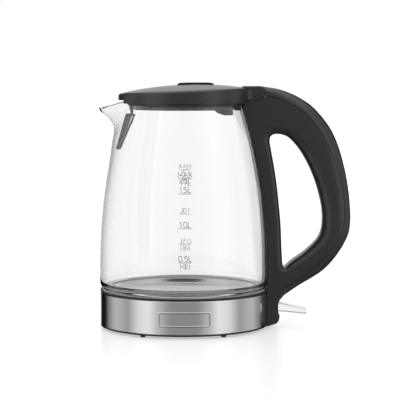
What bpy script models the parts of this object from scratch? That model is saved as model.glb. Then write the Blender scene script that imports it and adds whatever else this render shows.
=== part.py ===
"""Cordless electric glass kettle, 1.7 litres, as an assembly of separate pieces.

The lengths below are in millimetres, about the jug's vertical axis, with Z = 0 on the table, the spout towards
-X and the handle towards +X. add_object turns them into Blender's metres and hangs every piece on an empty that
sits where the jug's axis lies in the object's own frame, whose origin is the middle of its footprint box.
"""

import math

import bmesh
import bpy
from mathutils import Vector

MM = 0.001
GAP = 0.3  # what touching pieces keep between them
SEGMENTS = 40  # sides of the large turned pieces
SMALL = 10  # sides of screws, pins and other small round pieces

# Overall reach, which also places the frame's origin
SPOUT_REACH = 79.4
HANDLE_REACH = 154.0
JUG_AXIS_X = -(HANDLE_REACH - SPOUT_REACH) / 2

# Base
BAND_R = 77.9
BAND_THICKNESS = 0.8
BAND_BOTTOM = 3.8
BAND_TOP = 33.9
FLOOR_Z = 2.3
RING_TOP = 36.0
SCREW_CIRCLE_R = 70.5
FOOT_CIRCLE_R = 72.0
SOCKET_R = 15.0
HOUSING_R = 21.0
HOUSING_TOP = 24.0

# Hotplate
PLATE_FLOOR_Z = 33.4
PLATE_RIM_Z = 38.3
PLATE_RIM_R = 65.4
PLATE_SHEET = 0.8

# Glass jug: outer radius at each height, and the wall inside it
GLASS_SIDE = ((44.0, 78.4), (62.0, 78.3), (90.0, 77.3), (118.0, 74.8), (146.0, 70.7), (173.0, 65.1),
              (192.0, 60.0), (206.7, 55.9))
GLASS_WALL = 3.0
RIM_Z = 206.7
SPOUT_REACH_BY_Z = ((150.0, 0.0), (173.0, 1.6), (185.0, 2.8), (192.0, 7.6), (196.6, 12.6), (201.2, 19.3),
                    (206.7, 23.5))

# Lid
LID_R = 60.6
LID_WALL = 2.2
LID_SKIRT_Z = 207.7
LID_EDGE_Z = 219.0  # upper edge of the lid's side, midway between spout and hinge
LID_SLOPE = 0.0412  # the upper edge climbs towards the hinge
LID_CROWN = 5.9
LID_NOTCH_Z = 210.6
PLUG_R = 46.6
PLUG_Z = 201.2
PLUG_PLATE_TOP = 204.2
LID_SCREWS = ((-20.0, -22.0), (-20.0, 22.0))

# Lid hinge
HINGE_X = 66.9
HINGE_Z = 217.7
KNUCKLE_R = 7.1
SEAT_R = 7.5
LUG_R = 5.4
PIN_R = 1.5
PIN_HALF = 13.5
HINGE_HALF = 16.5

# Button and latch in the lid
BUTTON_X = (-5.9, 27.2)
BUTTON_HALF = 8.5
BUTTON_TOP = 226.8
BUTTON_FLOOR = 220.6
SPRING_X = 10.6
LATCH_HALF = 8.2

# Handle
HANDLE_HALF = 16.5
TONGUE_HALF = 7.0
BRACKET_HALF = 12.0
BRIDGE_X = 64.0
BRIDGE_Z = (207.0, 209.2)
BRACKET_FOOT_Z = 200.7
BRACKET_X = 46.0
BRACKET_SCREW_X = 60.6
BRACKET_SCREW_Y = (-8.0, 8.0)

FOOT_SCREW_Y = (-13.4, 13.4)
FOOT_SCREW_Z = 24.0
FOOT_SCREW_R = 1.5

# Switch at the foot of the handle
SWITCH_X = 80.5
SWITCH_Z = 19.2
PADDLE_HALF = 7.0


# --- curves and outlines ---------------------------------------------------------------------------------------


def interpolate(table, at):
    """The value at `at` on a smooth curve through a table of (place, value) pairs."""
    places = [place for place, _ in table]
    values = [value for _, value in table]
    if at <= places[0]:
        return values[0]
    if at >= places[-1]:
        return values[-1]
    last = len(table) - 1
    i = max(k for k in range(last) if places[k] <= at)

    def tangent(k):
        low, high = max(k - 1, 0), min(k + 1, last)
        return (values[high] - values[low]) / (places[high] - places[low])

    width = places[i + 1] - places[i]
    t = (at - places[i]) / width
    rise = t * t * (3 - 2 * t)
    return (values[i] * (1 - rise) + values[i + 1] * rise
            + width * tangent(i) * t * (1 - t) ** 2 - width * tangent(i + 1) * t * t * (1 - t))


def smooth_path(points, steps, closed=False):
    """Catmull-Rom curve through points of any dimension, with `steps` points for each stretch."""
    points = [Vector(p) for p in points]
    count = len(points)
    stretches = count if closed else count - 1
    path = []
    for i in range(stretches):
        if closed:
            a, b, c, d = (points[(i + k) % count] for k in (-1, 0, 1, 2))
        else:
            a, b, c, d = (points[min(max(i + k, 0), count - 1)] for k in (-1, 0, 1, 2))
        for step in range(steps):
            t = step / steps
            path.append(0.5 * (2 * b + (c - a) * t + (2 * a - 5 * b + 4 * c - d) * t * t
                               + (3 * b - a - 3 * c + d) * t ** 3))
    if not closed:
        path.append(points[-1])
    return path


def arc(centre_x, centre_z, radius, start, end, steps):
    """Points on an arc, angles in degrees."""
    angles = [math.radians(start + (end - start) * k / steps) for k in range(steps + 1)]
    return [(centre_x + radius * math.cos(a), centre_z + radius * math.sin(a)) for a in angles]


def glass_radius(z):
    return interpolate(GLASS_SIDE, z)


# --- solids ----------------------------------------------------------------------------------------------------


def bridge(bm, first, second):
    """Faces between two rings of vertices; a ring of one vertex is a pole."""
    if len(first) == 1 and len(second) == 1:
        return
    count = max(len(first), len(second))
    for i in range(count):
        corners = [first[i % len(first)], first[(i + 1) % len(first)],
                   second[(i + 1) % len(second)], second[i % len(second)]]
        unique = list(dict.fromkeys(corners))
        bm.faces.new(unique)


def rings_solid(rings, closed):
    """A solid from rings of points. A closed one joins its last ring to its first; an open one gets end caps."""
    bm = bmesh.new()
    made = [[bm.verts.new(p) for p in ring] for ring in rings]
    for first, second in zip(made, made[1:]):
        bridge(bm, first, second)
    if closed:
        bridge(bm, made[-1], made[0])
    else:
        for ring in (made[0], made[-1]):
            if len(ring) > 2:
                bm.faces.new(ring)
    bmesh.ops.recalc_face_normals(bm, faces=bm.faces)
    return bm


def turned(outline, segments=SEGMENTS, centre=(0.0, 0.0)):
    """An outline of (radius, height) turned about a vertical axis.

    An outline that starts and ends on the axis makes a solid piece, and any other is closed into a ring.
    """
    turns = [2 * math.pi * k / segments for k in range(segments)]
    on_axis = outline[0][0] == 0
    if on_axis:
        flat_start = outline[0][1] == outline[1][1]
        flat_end = outline[-1][1] == outline[-2][1]
        outline = outline[flat_start:len(outline) - flat_end]
    rings = []
    for radius, z in outline:
        if radius == 0:
            rings.append([(centre[0], centre[1], z)])
        else:
            rings.append([(centre[0] + radius * math.cos(a), centre[1] + radius * math.sin(a), z)
                          for a in turns])
    return rings_solid(rings, closed=not on_axis)


def disc(radius, low, high, segments=SMALL, centre=(0.0, 0.0)):
    return turned([(0, low), (radius, low), (radius, high), (0, high)], segments, centre)


def rod(radius, start, end, segments=SMALL):
    """A straight round bar between two points."""
    return swept([Vector(start), Vector(end)], radius, segments)


def slab(outline, low, high):
    """An outline in X and Z, extruded along Y."""
    return rings_solid([[(x, low, z) for x, z in outline], [(x, high, z) for x, z in outline]], closed=False)


def block(low, high):
    x0, y0, z0 = low
    x1, y1, z1 = high
    return slab([(x0, z0), (x1, z0), (x1, z1), (x0, z1)], y0, y1)


def frames_along(path):
    """A point and two cross directions at each point of a path, carried along it without twisting."""
    frames = []
    side = None
    for i, point in enumerate(path):
        ahead = (path[min(i + 1, len(path) - 1)] - path[max(i - 1, 0)]).normalized()
        if side is None:
            side = ahead.orthogonal().normalized()
        side = (side - ahead * side.dot(ahead)).normalized()
        frames.append((point, side, ahead.cross(side)))
    return frames


def swept(path, radius, segments=8):
    """A round bar along a path."""
    turns = [2 * math.pi * k / segments for k in range(segments)]
    rings = [[p + radius * (math.cos(a) * u + math.sin(a) * v) for a in turns]
             for p, u, v in frames_along(path)]
    return rings_solid(rings, closed=False)


def hose(path, outer, inner, segments=10):
    """A tube along a path, open at both ends."""
    turns = [2 * math.pi * k / segments for k in range(segments)]
    frames = frames_along(path)

    def ring(frame, radius):
        p, u, v = frame
        return [p + radius * (math.cos(a) * u + math.sin(a) * v) for a in turns]

    rings = [ring(f, outer) for f in frames] + [ring(f, inner) for f in reversed(frames)]
    return rings_solid(rings, closed=True)


def strut(start, end, width, depth):
    """A square-edged bar between two points, `width` across the Y direction and `depth` the other way."""
    start, end = Vector(start), Vector(end)
    along = (end - start).normalized()
    across = (Vector((0, 1, 0)) - along * along.y)
    across = across.normalized() if across.length > 0.1 else Vector((1, 0, 0))
    other = along.cross(across)
    corners = [(1, 1), (-1, 1), (-1, -1), (1, -1)]
    rings = [[p + across * (a * width / 2) + other * (b * depth / 2) for a, b in corners]
             for p in (start, end)]
    return rings_solid(rings, closed=False)


def coil(centre, axis, radius, wire, length, turns, steps=8, segments=4):
    """A helical spring along an axis, 'Z' or 'Y', centred across that axis and starting at `centre`."""
    count = int(turns * steps)
    path = []
    for k in range(count + 1):
        a = 2 * math.pi * k / steps
        u, v, w = radius * math.cos(a), radius * math.sin(a), length * k / count
        offset = Vector((u, v, w)) if axis == "Z" else Vector((u, w, v))
        path.append(Vector(centre) + offset)
    return swept(path, wire, segments)


def pillow(loops, half_width, steps=3):
    """A plate in X and Z, as thick as twice half_width, with rounded edges.

    Each loop is a closed list of (x, z, edge radius); the first is the outside and the others are holes.
    """
    bm = bmesh.new()
    cap_edges = {-1: [], 1: []}
    for index, loop in enumerate(loops):
        count = len(loop)
        area = sum(loop[i][0] * loop[(i + 1) % count][1] - loop[(i + 1) % count][0] * loop[i][1]
                   for i in range(count))
        turn = (1 if area > 0 else -1) * (1 if index == 0 else -1)
        inward = []
        for i in range(count):
            before, after = loop[i - 1], loop[(i + 1) % count]
            run = Vector((after[0] - before[0], after[1] - before[1])).normalized()
            inward.append(Vector((-run.y, run.x)) * turn)
        rings = []
        for side in (-1, 1):
            order = range(steps, -1, -1) if side < 0 else range(steps + 1)
            for step in order:
                phi = math.pi / 2 * step / steps
                ring = []
                for (x, z, radius), direction in zip(loop, inward):
                    inset = radius * (1 - math.cos(phi))
                    y = side * (half_width - radius + radius * math.sin(phi))
                    ring.append(bm.verts.new((x + direction.x * inset, y, z + direction.y * inset)))
                rings.append(ring)
        for first, second in zip(rings, rings[1:]):
            bridge(bm, first, second)
        for side, ring in ((-1, rings[0]), (1, rings[-1])):
            for i in range(count):
                cap_edges[side].append(bm.edges.get((ring[i], ring[(i + 1) % count])))
    for side, edges in cap_edges.items():
        bmesh.ops.triangle_fill(bm, use_beauty=True, edges=edges, normal=(0, side, 0))
    bmesh.ops.recalc_face_normals(bm, faces=bm.faces)
    return bm


# --- Blender objects -------------------------------------------------------------------------------------------


def clear_scene():
    for obj in list(bpy.data.objects):
        bpy.data.objects.remove(obj, do_unlink=True)


def material(name, colour, roughness, metallic=0.0, transmission=0.0):
    made = bpy.data.materials.new(name)
    made.use_nodes = True
    shader = made.node_tree.nodes["Principled BSDF"]
    shader.inputs["Base Color"].default_value = (*colour, 1.0)
    shader.inputs["Roughness"].default_value = roughness
    shader.inputs["Metallic"].default_value = metallic
    shader.inputs["Transmission Weight"].default_value = transmission
    return made


def add_empty(name, place, parent=None):
    """An empty at a place in the jug's coordinates; `place` is kept on it for the pieces that hang on it."""
    empty = bpy.data.objects.new(name, None)
    bpy.context.collection.objects.link(empty)
    empty.location = Vector(place) * MM
    if parent:
        empty.parent = parent
        empty.location = (Vector(place) - Vector(parent["place"])) * MM
    empty["place"] = list(place)
    return empty


def add_object(name, bm, look, parent):
    """A piece whose mesh, given in the jug's coordinates, hangs on the parent empty."""
    origin = Vector(parent["place"])
    for vertex in bm.verts:
        vertex.co = (vertex.co - origin) * MM
    mesh = bpy.data.meshes.new(name)
    bm.to_mesh(mesh)
    bm.free()
    mesh.shade_smooth()
    mesh.set_sharp_from_angle(angle=math.radians(35))
    if look:
        mesh.materials.append(look)
    obj = bpy.data.objects.new(name, mesh)
    bpy.context.collection.objects.link(obj)
    obj.parent = parent
    return obj


def change(obj, operation, bm):
    """A Boolean of a piece with another solid, which stays in the file as a hidden guide."""
    number = len(obj.modifiers) + 1
    guide = add_object(f"{obj.name}_{operation.lower()}_{number}", bm, None, obj.parent)
    guide.hide_render = True
    guide.display_type = "WIRE"
    step = obj.modifiers.new(f"{operation.title()} {number}", "BOOLEAN")
    step.operation = operation
    step.solver = "EXACT"
    step.object = guide


def cut(obj, *solids):
    for bm in solids:
        change(obj, "DIFFERENCE", bm)


def join(obj, *solids):
    for bm in solids:
        change(obj, "UNION", bm)


def around(count, radius, first=0.0):
    """Centres equally spaced on a circle, the first at an angle in degrees."""
    angles = [math.radians(first + 360 * k / count) for k in range(count)]
    return [(radius * math.cos(a), radius * math.sin(a)) for a in angles]


def screw(centre, head_low, head_high, head_r, tip, shank_r):
    """A pan-head screw standing along Z: its head, its shank to the tip and a driver recess."""
    x, y = centre
    head_face, head_seat = (head_low, head_high) if tip > head_high else (head_high, head_low)
    depth = (head_seat - head_face) * 0.5
    outline = [(0, head_face + depth), (head_r * 0.35, head_face + depth), (head_r * 0.35, head_face),
               (head_r * 0.8, head_face), (head_r, head_face + depth * 0.6), (head_r, head_seat),
               (shank_r, head_seat), (shank_r, tip - math.copysign(1.0, tip - head_seat)), (0, tip)]
    return turned(outline, SMALL, (x, y))


# --- looks -----------------------------------------------------------------------------------------------------

LOOKS = {
    "glass": ((0.95, 0.97, 0.97), 0.02, 0.0, 1.0),
    "brushed_steel": ((0.62, 0.60, 0.58), 0.28, 1.0, 0.0),
    "polished_steel": ((0.70, 0.69, 0.68), 0.18, 1.0, 0.0),
    "aluminium": ((0.75, 0.76, 0.77), 0.4, 1.0, 0.0),
    "brass": ((0.80, 0.62, 0.30), 0.3, 1.0, 0.0),
    "black_plastic": ((0.035, 0.036, 0.038), 0.42, 0.0, 0.0),
    "gloss_plastic": ((0.02, 0.02, 0.022), 0.15, 0.0, 0.0),
    "white_nylon": ((0.75, 0.74, 0.70), 0.5, 0.0, 0.0),
    "clear_acrylic": ((0.92, 0.95, 0.97), 0.03, 0.0, 1.0),
    "rubber": ((0.02, 0.02, 0.02), 0.8, 0.0, 0.0),
    "silicone": ((0.5, 0.5, 0.5), 0.6, 0.0, 0.0),
}


# --- glass jug -------------------------------------------------------------------------------------------------


def spout_shape(angle):
    """How far a direction takes part in the spout, and how much the rim is lifted there."""
    off = abs(math.degrees(angle) - 180)
    share = math.exp(-((off / 11) ** 1.5))
    lift = 2.6 * math.exp(-(((off - 17) / 8) ** 2)) - 3.0 * math.exp(-((off / 8) ** 2))
    return share, lift


def jug_outline():
    """The wall's closed section at a plain side of the jug, as (radius, height)."""
    heights = [44.0, 66.0, 95.0, 122.0, 146.0, 168.0, 183.0, 191.0, 197.0, 202.0, RIM_Z - 0.7]
    inner_heights = [66.0, 107.0, 146.0, 175.0, 190.0, 199.0, RIM_Z - 0.7]
    foot = [(67.0, 36.3), (72.0, 36.4), (76.0, 37.8), (78.1, 41.0)]
    outer = [(glass_radius(z), z) for z in heights]
    rim = [(glass_radius(RIM_Z) - 0.9, RIM_Z), (glass_radius(RIM_Z) - GLASS_WALL + 0.9, RIM_Z)]
    inner = [(glass_radius(z) - GLASS_WALL, z) for z in reversed(inner_heights)]
    shoulder = [(75.4, 46.0), (74.7, 42.6), (72.4, 40.2), (67.0, 39.3)]
    return foot + outer + rim + inner + shoulder


def glass_jug(looks, root):
    step = 360 / SEGMENTS
    angles = sorted({k * step for k in range(SEGMENTS)} | {180 + k * step / 2 for k in range(-7, 8)})
    rings = []
    for radius, z in jug_outline():
        ring = []
        for angle in map(math.radians, angles):
            share, lift = spout_shape(angle)
            reach = interpolate(SPOUT_REACH_BY_Z, z) * share
            near_rim = min(max((z - 188.0) / (RIM_Z - 188.0), 0.0), 1.0) ** 2
            r = radius + reach
            ring.append((r * math.cos(angle), r * math.sin(angle), z + lift * near_rim))
        rings.append(ring)
    add_object("glass_jug", rings_solid(rings, closed=True), looks["glass"], root)


# --- base ------------------------------------------------------------------------------------------------------


def switch_window():
    """The way from the handle's foot into the base."""
    return block((60.0, -11.0, 6.0), (80.0, 11.0, 31.5))


def foot_screw_holes():
    return [rod(FOOT_SCREW_R + GAP, (68.0, y, FOOT_SCREW_Z), (84.6, y, FOOT_SCREW_Z)) for y in FOOT_SCREW_Y]


def base_ring(looks, root):
    """The plastic ring bonded under the glass, with the posts that the cover screws into."""
    outline = [(66.3, 33.2), (73.9, 33.2), (73.9, 16.0), (75.9, 16.0), (75.9, 34.3), (BAND_R, 34.3),
               (BAND_R, RING_TOP), (76.2, RING_TOP), (76.2, 35.2), (66.3, 35.2)]
    obj = add_object("base_ring", turned(outline), looks["black_plastic"], root)
    for centre in around(3, SCREW_CIRCLE_R, 90):
        join(obj, disc(4.0, 9.6, 35.0, SMALL, centre))
        cut(obj, disc(1.8, 5.0, 18.0, SMALL, centre))
    cut(obj, block((60.0, -11.0, 12.0), (77.0, 11.0, 31.5)), *foot_screw_holes())


def steel_band(looks, root):
    inner = BAND_R - BAND_THICKNESS
    outline = [(inner, BAND_BOTTOM), (BAND_R, BAND_BOTTOM), (BAND_R, BAND_TOP - 0.4),
               (BAND_R - 0.4, BAND_TOP), (inner - 0.6, BAND_TOP), (inner - 0.6, BAND_TOP - 0.7),
               (inner, BAND_TOP - 0.7)]
    obj = add_object("steel_band", turned(outline), looks["brushed_steel"], root)
    cut(obj, switch_window(), *foot_screw_holes())


def base_cover(looks, root):
    """The underside: a dish with a collar round the connector, screw bosses and holes for the feet."""
    collar = HOUSING_R + 0.6
    outline = [(collar, FLOOR_Z), (77.4, FLOOR_Z), (77.8, 2.7), (77.8, 3.5), (76.4, 3.5), (76.4, 14.0),
               (74.8, 14.0), (74.8, 4.3), (collar + 1.6, 4.3), (collar + 1.6, 12.0), (collar, 12.0)]
    obj = add_object("base_cover", turned(outline, 32), looks["black_plastic"], root)
    for centre in around(3, SCREW_CIRCLE_R, 90):
        join(obj, disc(4.0, 3.0, 9.3, SMALL, centre))
        cut(obj, disc(3.2, 1.0, 6.3, SMALL, centre), disc(1.8, 5.0, 12.0, SMALL, centre))
    for centre in around(6, FOOT_CIRCLE_R, 60):
        if abs(centre[1]) > 1:
            cut(obj, disc(1.9, 1.0, 6.0, SMALL, centre))
    cut(obj, block((70.0, -11.0, 6.0), (80.0, 11.0, 20.0)))


def base_fittings(looks, root):
    """Screws of the base cover, and rubber feet under the rim."""
    for number, centre in enumerate(around(3, SCREW_CIRCLE_R, 90), start=1):
        add_object(f"base_screw_{number}", screw(centre, 4.6, 6.0, 2.7, 16.0, 1.5),
                   looks["polished_steel"], root)
    feet = [centre for centre in around(6, FOOT_CIRCLE_R, 60) if abs(centre[1]) > 1]
    outline = [(0, 0), (1.8, 0), (2.4, 0.5), (2.6, FLOOR_Z - GAP), (1.6, FLOOR_Z - GAP), (1.6, 6.4), (0, 6.4)]
    for number, centre in enumerate(feet, start=1):
        add_object(f"rubber_foot_{number}", turned(outline, SMALL, centre), looks["rubber"], root)


def hotplate(looks, root):
    """The stamped steel dish that closes the jug, with the silicone gasket that the glass stands on."""
    top = [(0, PLATE_FLOOR_Z), (50.0, PLATE_FLOOR_Z), (56.5, PLATE_FLOOR_Z + 0.5), (58.5, PLATE_FLOOR_Z + 1.5),
           (61.0, PLATE_RIM_Z - 0.6), (62.2, PLATE_RIM_Z), (PLATE_RIM_R, PLATE_RIM_Z)]
    below = [(r + 0.3, z - PLATE_SHEET) for r, z in reversed(top[1:-1])]
    outline = top + [(PLATE_RIM_R, PLATE_RIM_Z - PLATE_SHEET)] + below + [(0, PLATE_FLOOR_Z - PLATE_SHEET)]
    add_object("hotplate", turned(outline), looks["polished_steel"], root)
    seal = [(65.7, 35.5), (75.8, 35.5), (75.8, 36.0), (66.7, 36.0), (66.7, 39.4), (66.2, 39.9), (65.7, 39.4)]
    add_object("hotplate_seal", turned(seal), looks["silicone"], root)


def heater(looks, root):
    """The aluminium plate under the hotplate and the tubular element brazed to it."""
    top = PLATE_FLOOR_Z - PLATE_SHEET - GAP
    bottom = top - 2.0
    add_object("heat_spreader", turned([(0, bottom), (49.0, bottom), (50.0, top - 0.6), (50.0, top), (0, top)],
                                       24), looks["aluminium"], root)
    tube_r, ring_r = 3.2, 38.0
    tube_z = bottom - GAP - tube_r
    path = [Vector((26.0, -16.0, tube_z - 6.0)), Vector((30.0, -17.5, tube_z - 2.0))]
    for k in range(19):
        a = math.radians(-35 - 290 * k / 18)
        path.append(Vector((ring_r * math.cos(a), ring_r * math.sin(a), tube_z)))
    path += [Vector((30.0, 17.5, tube_z - 2.0)), Vector((26.0, 16.0, tube_z - 6.0))]
    add_object("heating_element", swept(path, tube_r, 6), looks["aluminium"], root)


def control(looks, root):
    """The control under the hotplate: housing with the connector's socket, contacts and snap discs."""
    roof = 19.0
    outline = [(0, roof), (SOCKET_R, roof), (SOCKET_R, 5.0), (HOUSING_R - 0.8, 5.0), (HOUSING_R, 5.8),
               (HOUSING_R, HOUSING_TOP), (0, HOUSING_TOP)]
    obj = add_object("control_housing", turned(outline, 24), looks["white_nylon"], root)
    discs = ((-12.0, 0.0), (12.0, 0.0))
    for centre in discs:
        join(obj, turned([(5.2, HOUSING_TOP - 1), (6.8, HOUSING_TOP - 1), (6.8, 29.0), (5.2, 29.0)], 16, centre))
    cut(obj, disc(2.5, roof - 1, HOUSING_TOP + 1, SMALL),
        turned([(7.2, roof - 1), (8.6, roof - 1), (8.6, 21.0), (7.2, 21.0)], 24))
    pin = [(0, 8.0), (1.2, 8.0), (2.2, 9.2), (2.2, 23.5), (0, 23.5)]
    add_object("connector_pin", turned(pin, SMALL), looks["brass"], root)
    ring = [(7.5, 9.0), (8.3, 9.0), (8.3, 20.7), (7.5, 20.7)]
    add_object("connector_ring", turned(ring, 24), looks["brass"], root)
    for number, (x, y) in enumerate(discs, start=1):
        dome = [(0, 29.5), (6.4, 29.3), (6.4, 29.7), (0, 29.9)]
        add_object(f"snap_disc_{number}", turned(dome, 16, (x, y)), looks["polished_steel"], root)


# --- steam switch ----------------------------------------------------------------------------------------------


def steam_switch(looks, root, pivot):
    """The switch in the foot of the handle: housing, steam disc, toggle spring, rocker and clear paddle."""
    housing = add_object("switch_housing", block((54.0, -10.0, 8.0), (72.5, 10.0, 29.0)),
                         looks["white_nylon"], root)
    cut(housing, block((57.0, -8.0, 10.0), (80.0, 8.0, 27.0)))
    add_object("steam_disc", slab([(71.3, 24.0), (71.7, 24.0), (71.9, 20.0), (71.7, 12.5), (71.3, 12.5),
                                   (71.5, 20.0)], -5.0, 5.0), looks["polished_steel"], root)
    spring = [(58.0, 18.6), (62.0, 19.6), (66.0, 18.6), (70.0, 19.2), (70.0, 19.7), (66.0, 19.2),
              (62.0, 20.2), (58.0, 19.2)]
    add_object("toggle_spring", slab(spring, -2.5, 2.5), looks["polished_steel"], root)
    rocker = add_object("switch_rocker", rod(3.0, (SWITCH_X, -9.0, SWITCH_Z), (SWITCH_X, 9.0, SWITCH_Z), 16),
                        looks["black_plastic"], pivot)
    join(rocker, rod(1.2, (SWITCH_X, -10.6, SWITCH_Z), (SWITCH_X, 10.6, SWITCH_Z), SMALL),
         block((73.0, -3.0, SWITCH_Z - 1.2), (SWITCH_X, 3.0, SWITCH_Z + 1.2)))
    paddle = [(84.0, 14.6), (94.0, 13.8), (112.6, 11.9), (113.5, 13.0), (113.5, 16.2), (112.2, 17.2),
              (96.0, 20.4), (84.0, 23.4)]
    add_object("switch_lever", pillow([[(x, z + 0.4, 0.8) for x, z in paddle]], PADDLE_HALF, 2),
               looks["clear_acrylic"], pivot)
    add_object("indicator_led", rod(1.4, (78.8, 0.0, 27.4), (83.6, 0.0, 27.4), SMALL), looks["clear_acrylic"],
               root)


def leads(looks, root):
    """The two wires from the control to the steam switch."""
    for number, side in ((1, -1), (2, 1)):
        route = [(22.5, 6.0 * side, 15.0), (30.0, 9.0 * side, 11.0), (42.0, 8.0 * side, 9.0),
                 (50.0, 6.0 * side, 13.0), (53.4, 5.0 * side, 14.0)]
        add_object(f"lead_wire_{number}", swept(smooth_path(route, 4), 1.1, 6), looks["silicone"], root)


# --- handle ----------------------------------------------------------------------------------------------------


def handle_outline():
    """The handle's outside seen from the side, as (x, z, edge radius)."""
    back = [(72.0, 223.2, 4.0), (88.7, 220.3, 6.0), (105.4, 213.5, 8.0), (122.0, 201.2, 9.5),
            (138.7, 177.6, 10.5), (149.8, 141.0, 10.5), (HANDLE_REACH, 101.4, 10.5), (148.7, 79.3, 10.0),
            (130.7, 55.2, 9.0), (105.0, 38.6, 7.0), (92.0, 30.6, 3.5)]
    foot = [(89.0, 27.0, 2.0), (88.4, 12.0, 1.5), (87.6, 7.4, 1.2), (85.5, 4.9, 1.2), (83.0, 4.0, 1.0),
            (76.0, 2.0, 0.5), (60.0, 1.6, 0.5)]
    floor = HINGE_Z - SEAT_R
    jug_side = [(44.0, 100.0, 0.5), (44.0, 203.0, 0.5), (54.6, 205.0, 0.5), (54.6, BRIDGE_Z[1], 0.5),
                (57.2, BRIDGE_Z[1], 0.5), (57.2, floor, 0.5), (HINGE_X, floor, 0.5)]
    return [tuple(p) for p in smooth_path(back, 3)] + foot + jug_side


def loop_outline():
    """The opening for the fingers."""
    points = [(92.0, 56.2, 5.0), (90.1, 71.7, 5.0), (88.8, 99.4, 5.0), (84.9, 136.4, 5.0), (80.4, 163.0, 5.0),
              (78.7, 173.6, 6.0), (80.8, 178.4, 7.0), (87.5, 179.4, 8.0), (97.0, 175.6, 9.0),
              (108.5, 162.0, 10.0), (120.0, 138.6, 10.0), (127.4, 110.0, 10.0), (126.0, 87.5, 10.0),
              (114.5, 73.2, 9.0), (100.0, 62.2, 7.5)]
    return [tuple(p) for p in smooth_path(points, 2, closed=True)]


def seam_curve(inset=0.0):
    """The seam between the handle's body and its cover, moved towards the body by about `inset`."""
    seam = [(70.0, 214.2), (80.0, 213.9), (94.9, 209.1), (115.0, 195.1), (133.1, 168.0), (145.1, 131.8),
            (147.7, 101.4), (138.8, 76.3), (112.7, 50.2), (89.2, 36.2)]
    shifted = [(x - inset * 0.8, z - inset if k < 5 else z + inset * 0.8) for k, (x, z) in enumerate(seam)]
    return [tuple(p) for p in smooth_path(shifted, 3)]


def parting_region(inset=0.0):
    """Everything behind the seam."""
    return seam_curve(inset) + [(89.2 - inset * 0.8, 20.0), (190.0, 20.0), (190.0, 260.0), (70.0, 260.0)]


def seam_strip(inner, outer, half_width):
    """A strip along the seam, short of its ends, for the tongue on the body and its groove in the cover."""
    ends = slice(2, -4)
    return slab(seam_curve(inner)[ends] + seam_curve(outer)[ends][::-1], -half_width, half_width)


def jug_envelope():
    """The jug and base as the handle meets them, larger all round by a gap."""
    heights = [37.0, 44.0, 62.0, 90.0, 118.0, 146.0, 173.0, 185.0, 192.0, 201.2, RIM_Z]
    side = [(glass_radius(z) + GAP, z) for z in heights]
    base = [(0, -5.0), (BAND_R + GAP, -5.0), (BAND_R + GAP, 36.5)]
    return turned(base + side + [(side[-1][0], RIM_Z + GAP), (0, RIM_Z + GAP)])


def tube_path():
    """Where the steam tube runs, between the glass and the strap of the handle."""
    heights = [203.0, 190.0, 170.0, 150.0, 125.0, 100.0, 75.0, 50.0, 34.0]
    return smooth_path([(glass_radius(max(z, 44.0)) + GAP + 3.4, 0.0, z) for z in heights], 1)


def tube_channel():
    """The open channel in the handle that the tube lies in."""
    path = tube_path()
    behind = [(p.x + 3.2, p.z) for p in path]
    front = [(p.x - 12.0, p.z) for p in reversed(path)]
    top = [(front[-1][0], 206.0), (behind[0][0], 206.0)]
    return slab(top + behind + [(behind[-1][0], 28.0), (front[0][0], 28.0)] + front, -3.2, 3.2)


def hinge_rod(radius, half):
    return rod(radius, (HINGE_X, -half, HINGE_Z), (HINGE_X, half, HINGE_Z), 24)


def handle(looks, root):
    loops = [handle_outline(), loop_outline()]
    wide = HANDLE_HALF + 5

    cover = add_object("handle_cover", pillow(loops, HANDLE_HALF), looks["black_plastic"], root)
    change(cover, "INTERSECT", slab(parting_region(), -wide, wide))
    cut(cover, hinge_rod(SEAT_R, wide), seam_strip(0.8, -1.4, TONGUE_HALF + GAP))

    body = add_object("handle_body", pillow(loops, HANDLE_HALF), looks["black_plastic"], root)
    cut(body, slab(parting_region(0.4), -wide, wide), hinge_rod(SEAT_R, wide), jug_envelope(), tube_channel())
    join(body, seam_strip(1.8, -1.0, TONGUE_HALF))
    # room for the bridge over the rim, the switch, and the step that the paddle comes out of
    cut(body, block((50.0, -BRACKET_HALF - GAP, BRIDGE_Z[0] - GAP), (BRIDGE_X + GAP, BRACKET_HALF + GAP, 212.0)),
        block((70.0, -9.5, 8.0), (84.0, 9.5, 30.0)),
        block((80.0, -8.0, 12.2), (95.0, 8.0, 25.4)),
        slab([(96.0, 30.0), (90.4, 29.2), (87.0, 24.6), (86.7, 14.2), (88.8, 11.6), (96.0, 11.6)], -wide, wide),
        rod(1.5, (SWITCH_X, -10.9, SWITCH_Z), (SWITCH_X, 10.9, SWITCH_Z), SMALL))
    stem = [(HINGE_X - 2.4, 208.6), (HINGE_X + 3.0, 208.6)] + arc(HINGE_X, HINGE_Z, LUG_R, -50, 230, 10)
    join(body, slab(stem, -6.5, -4.0), slab(stem, 4.0, 6.5))
    cut(body, hinge_rod(PIN_R + 0.2, wide))
    cut(body, *foot_screw_holes())
    for y in BRACKET_SCREW_Y:
        cut(body, disc(1.8, 196.0, 212.0, SMALL, (BRACKET_SCREW_X, y)))


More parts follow.
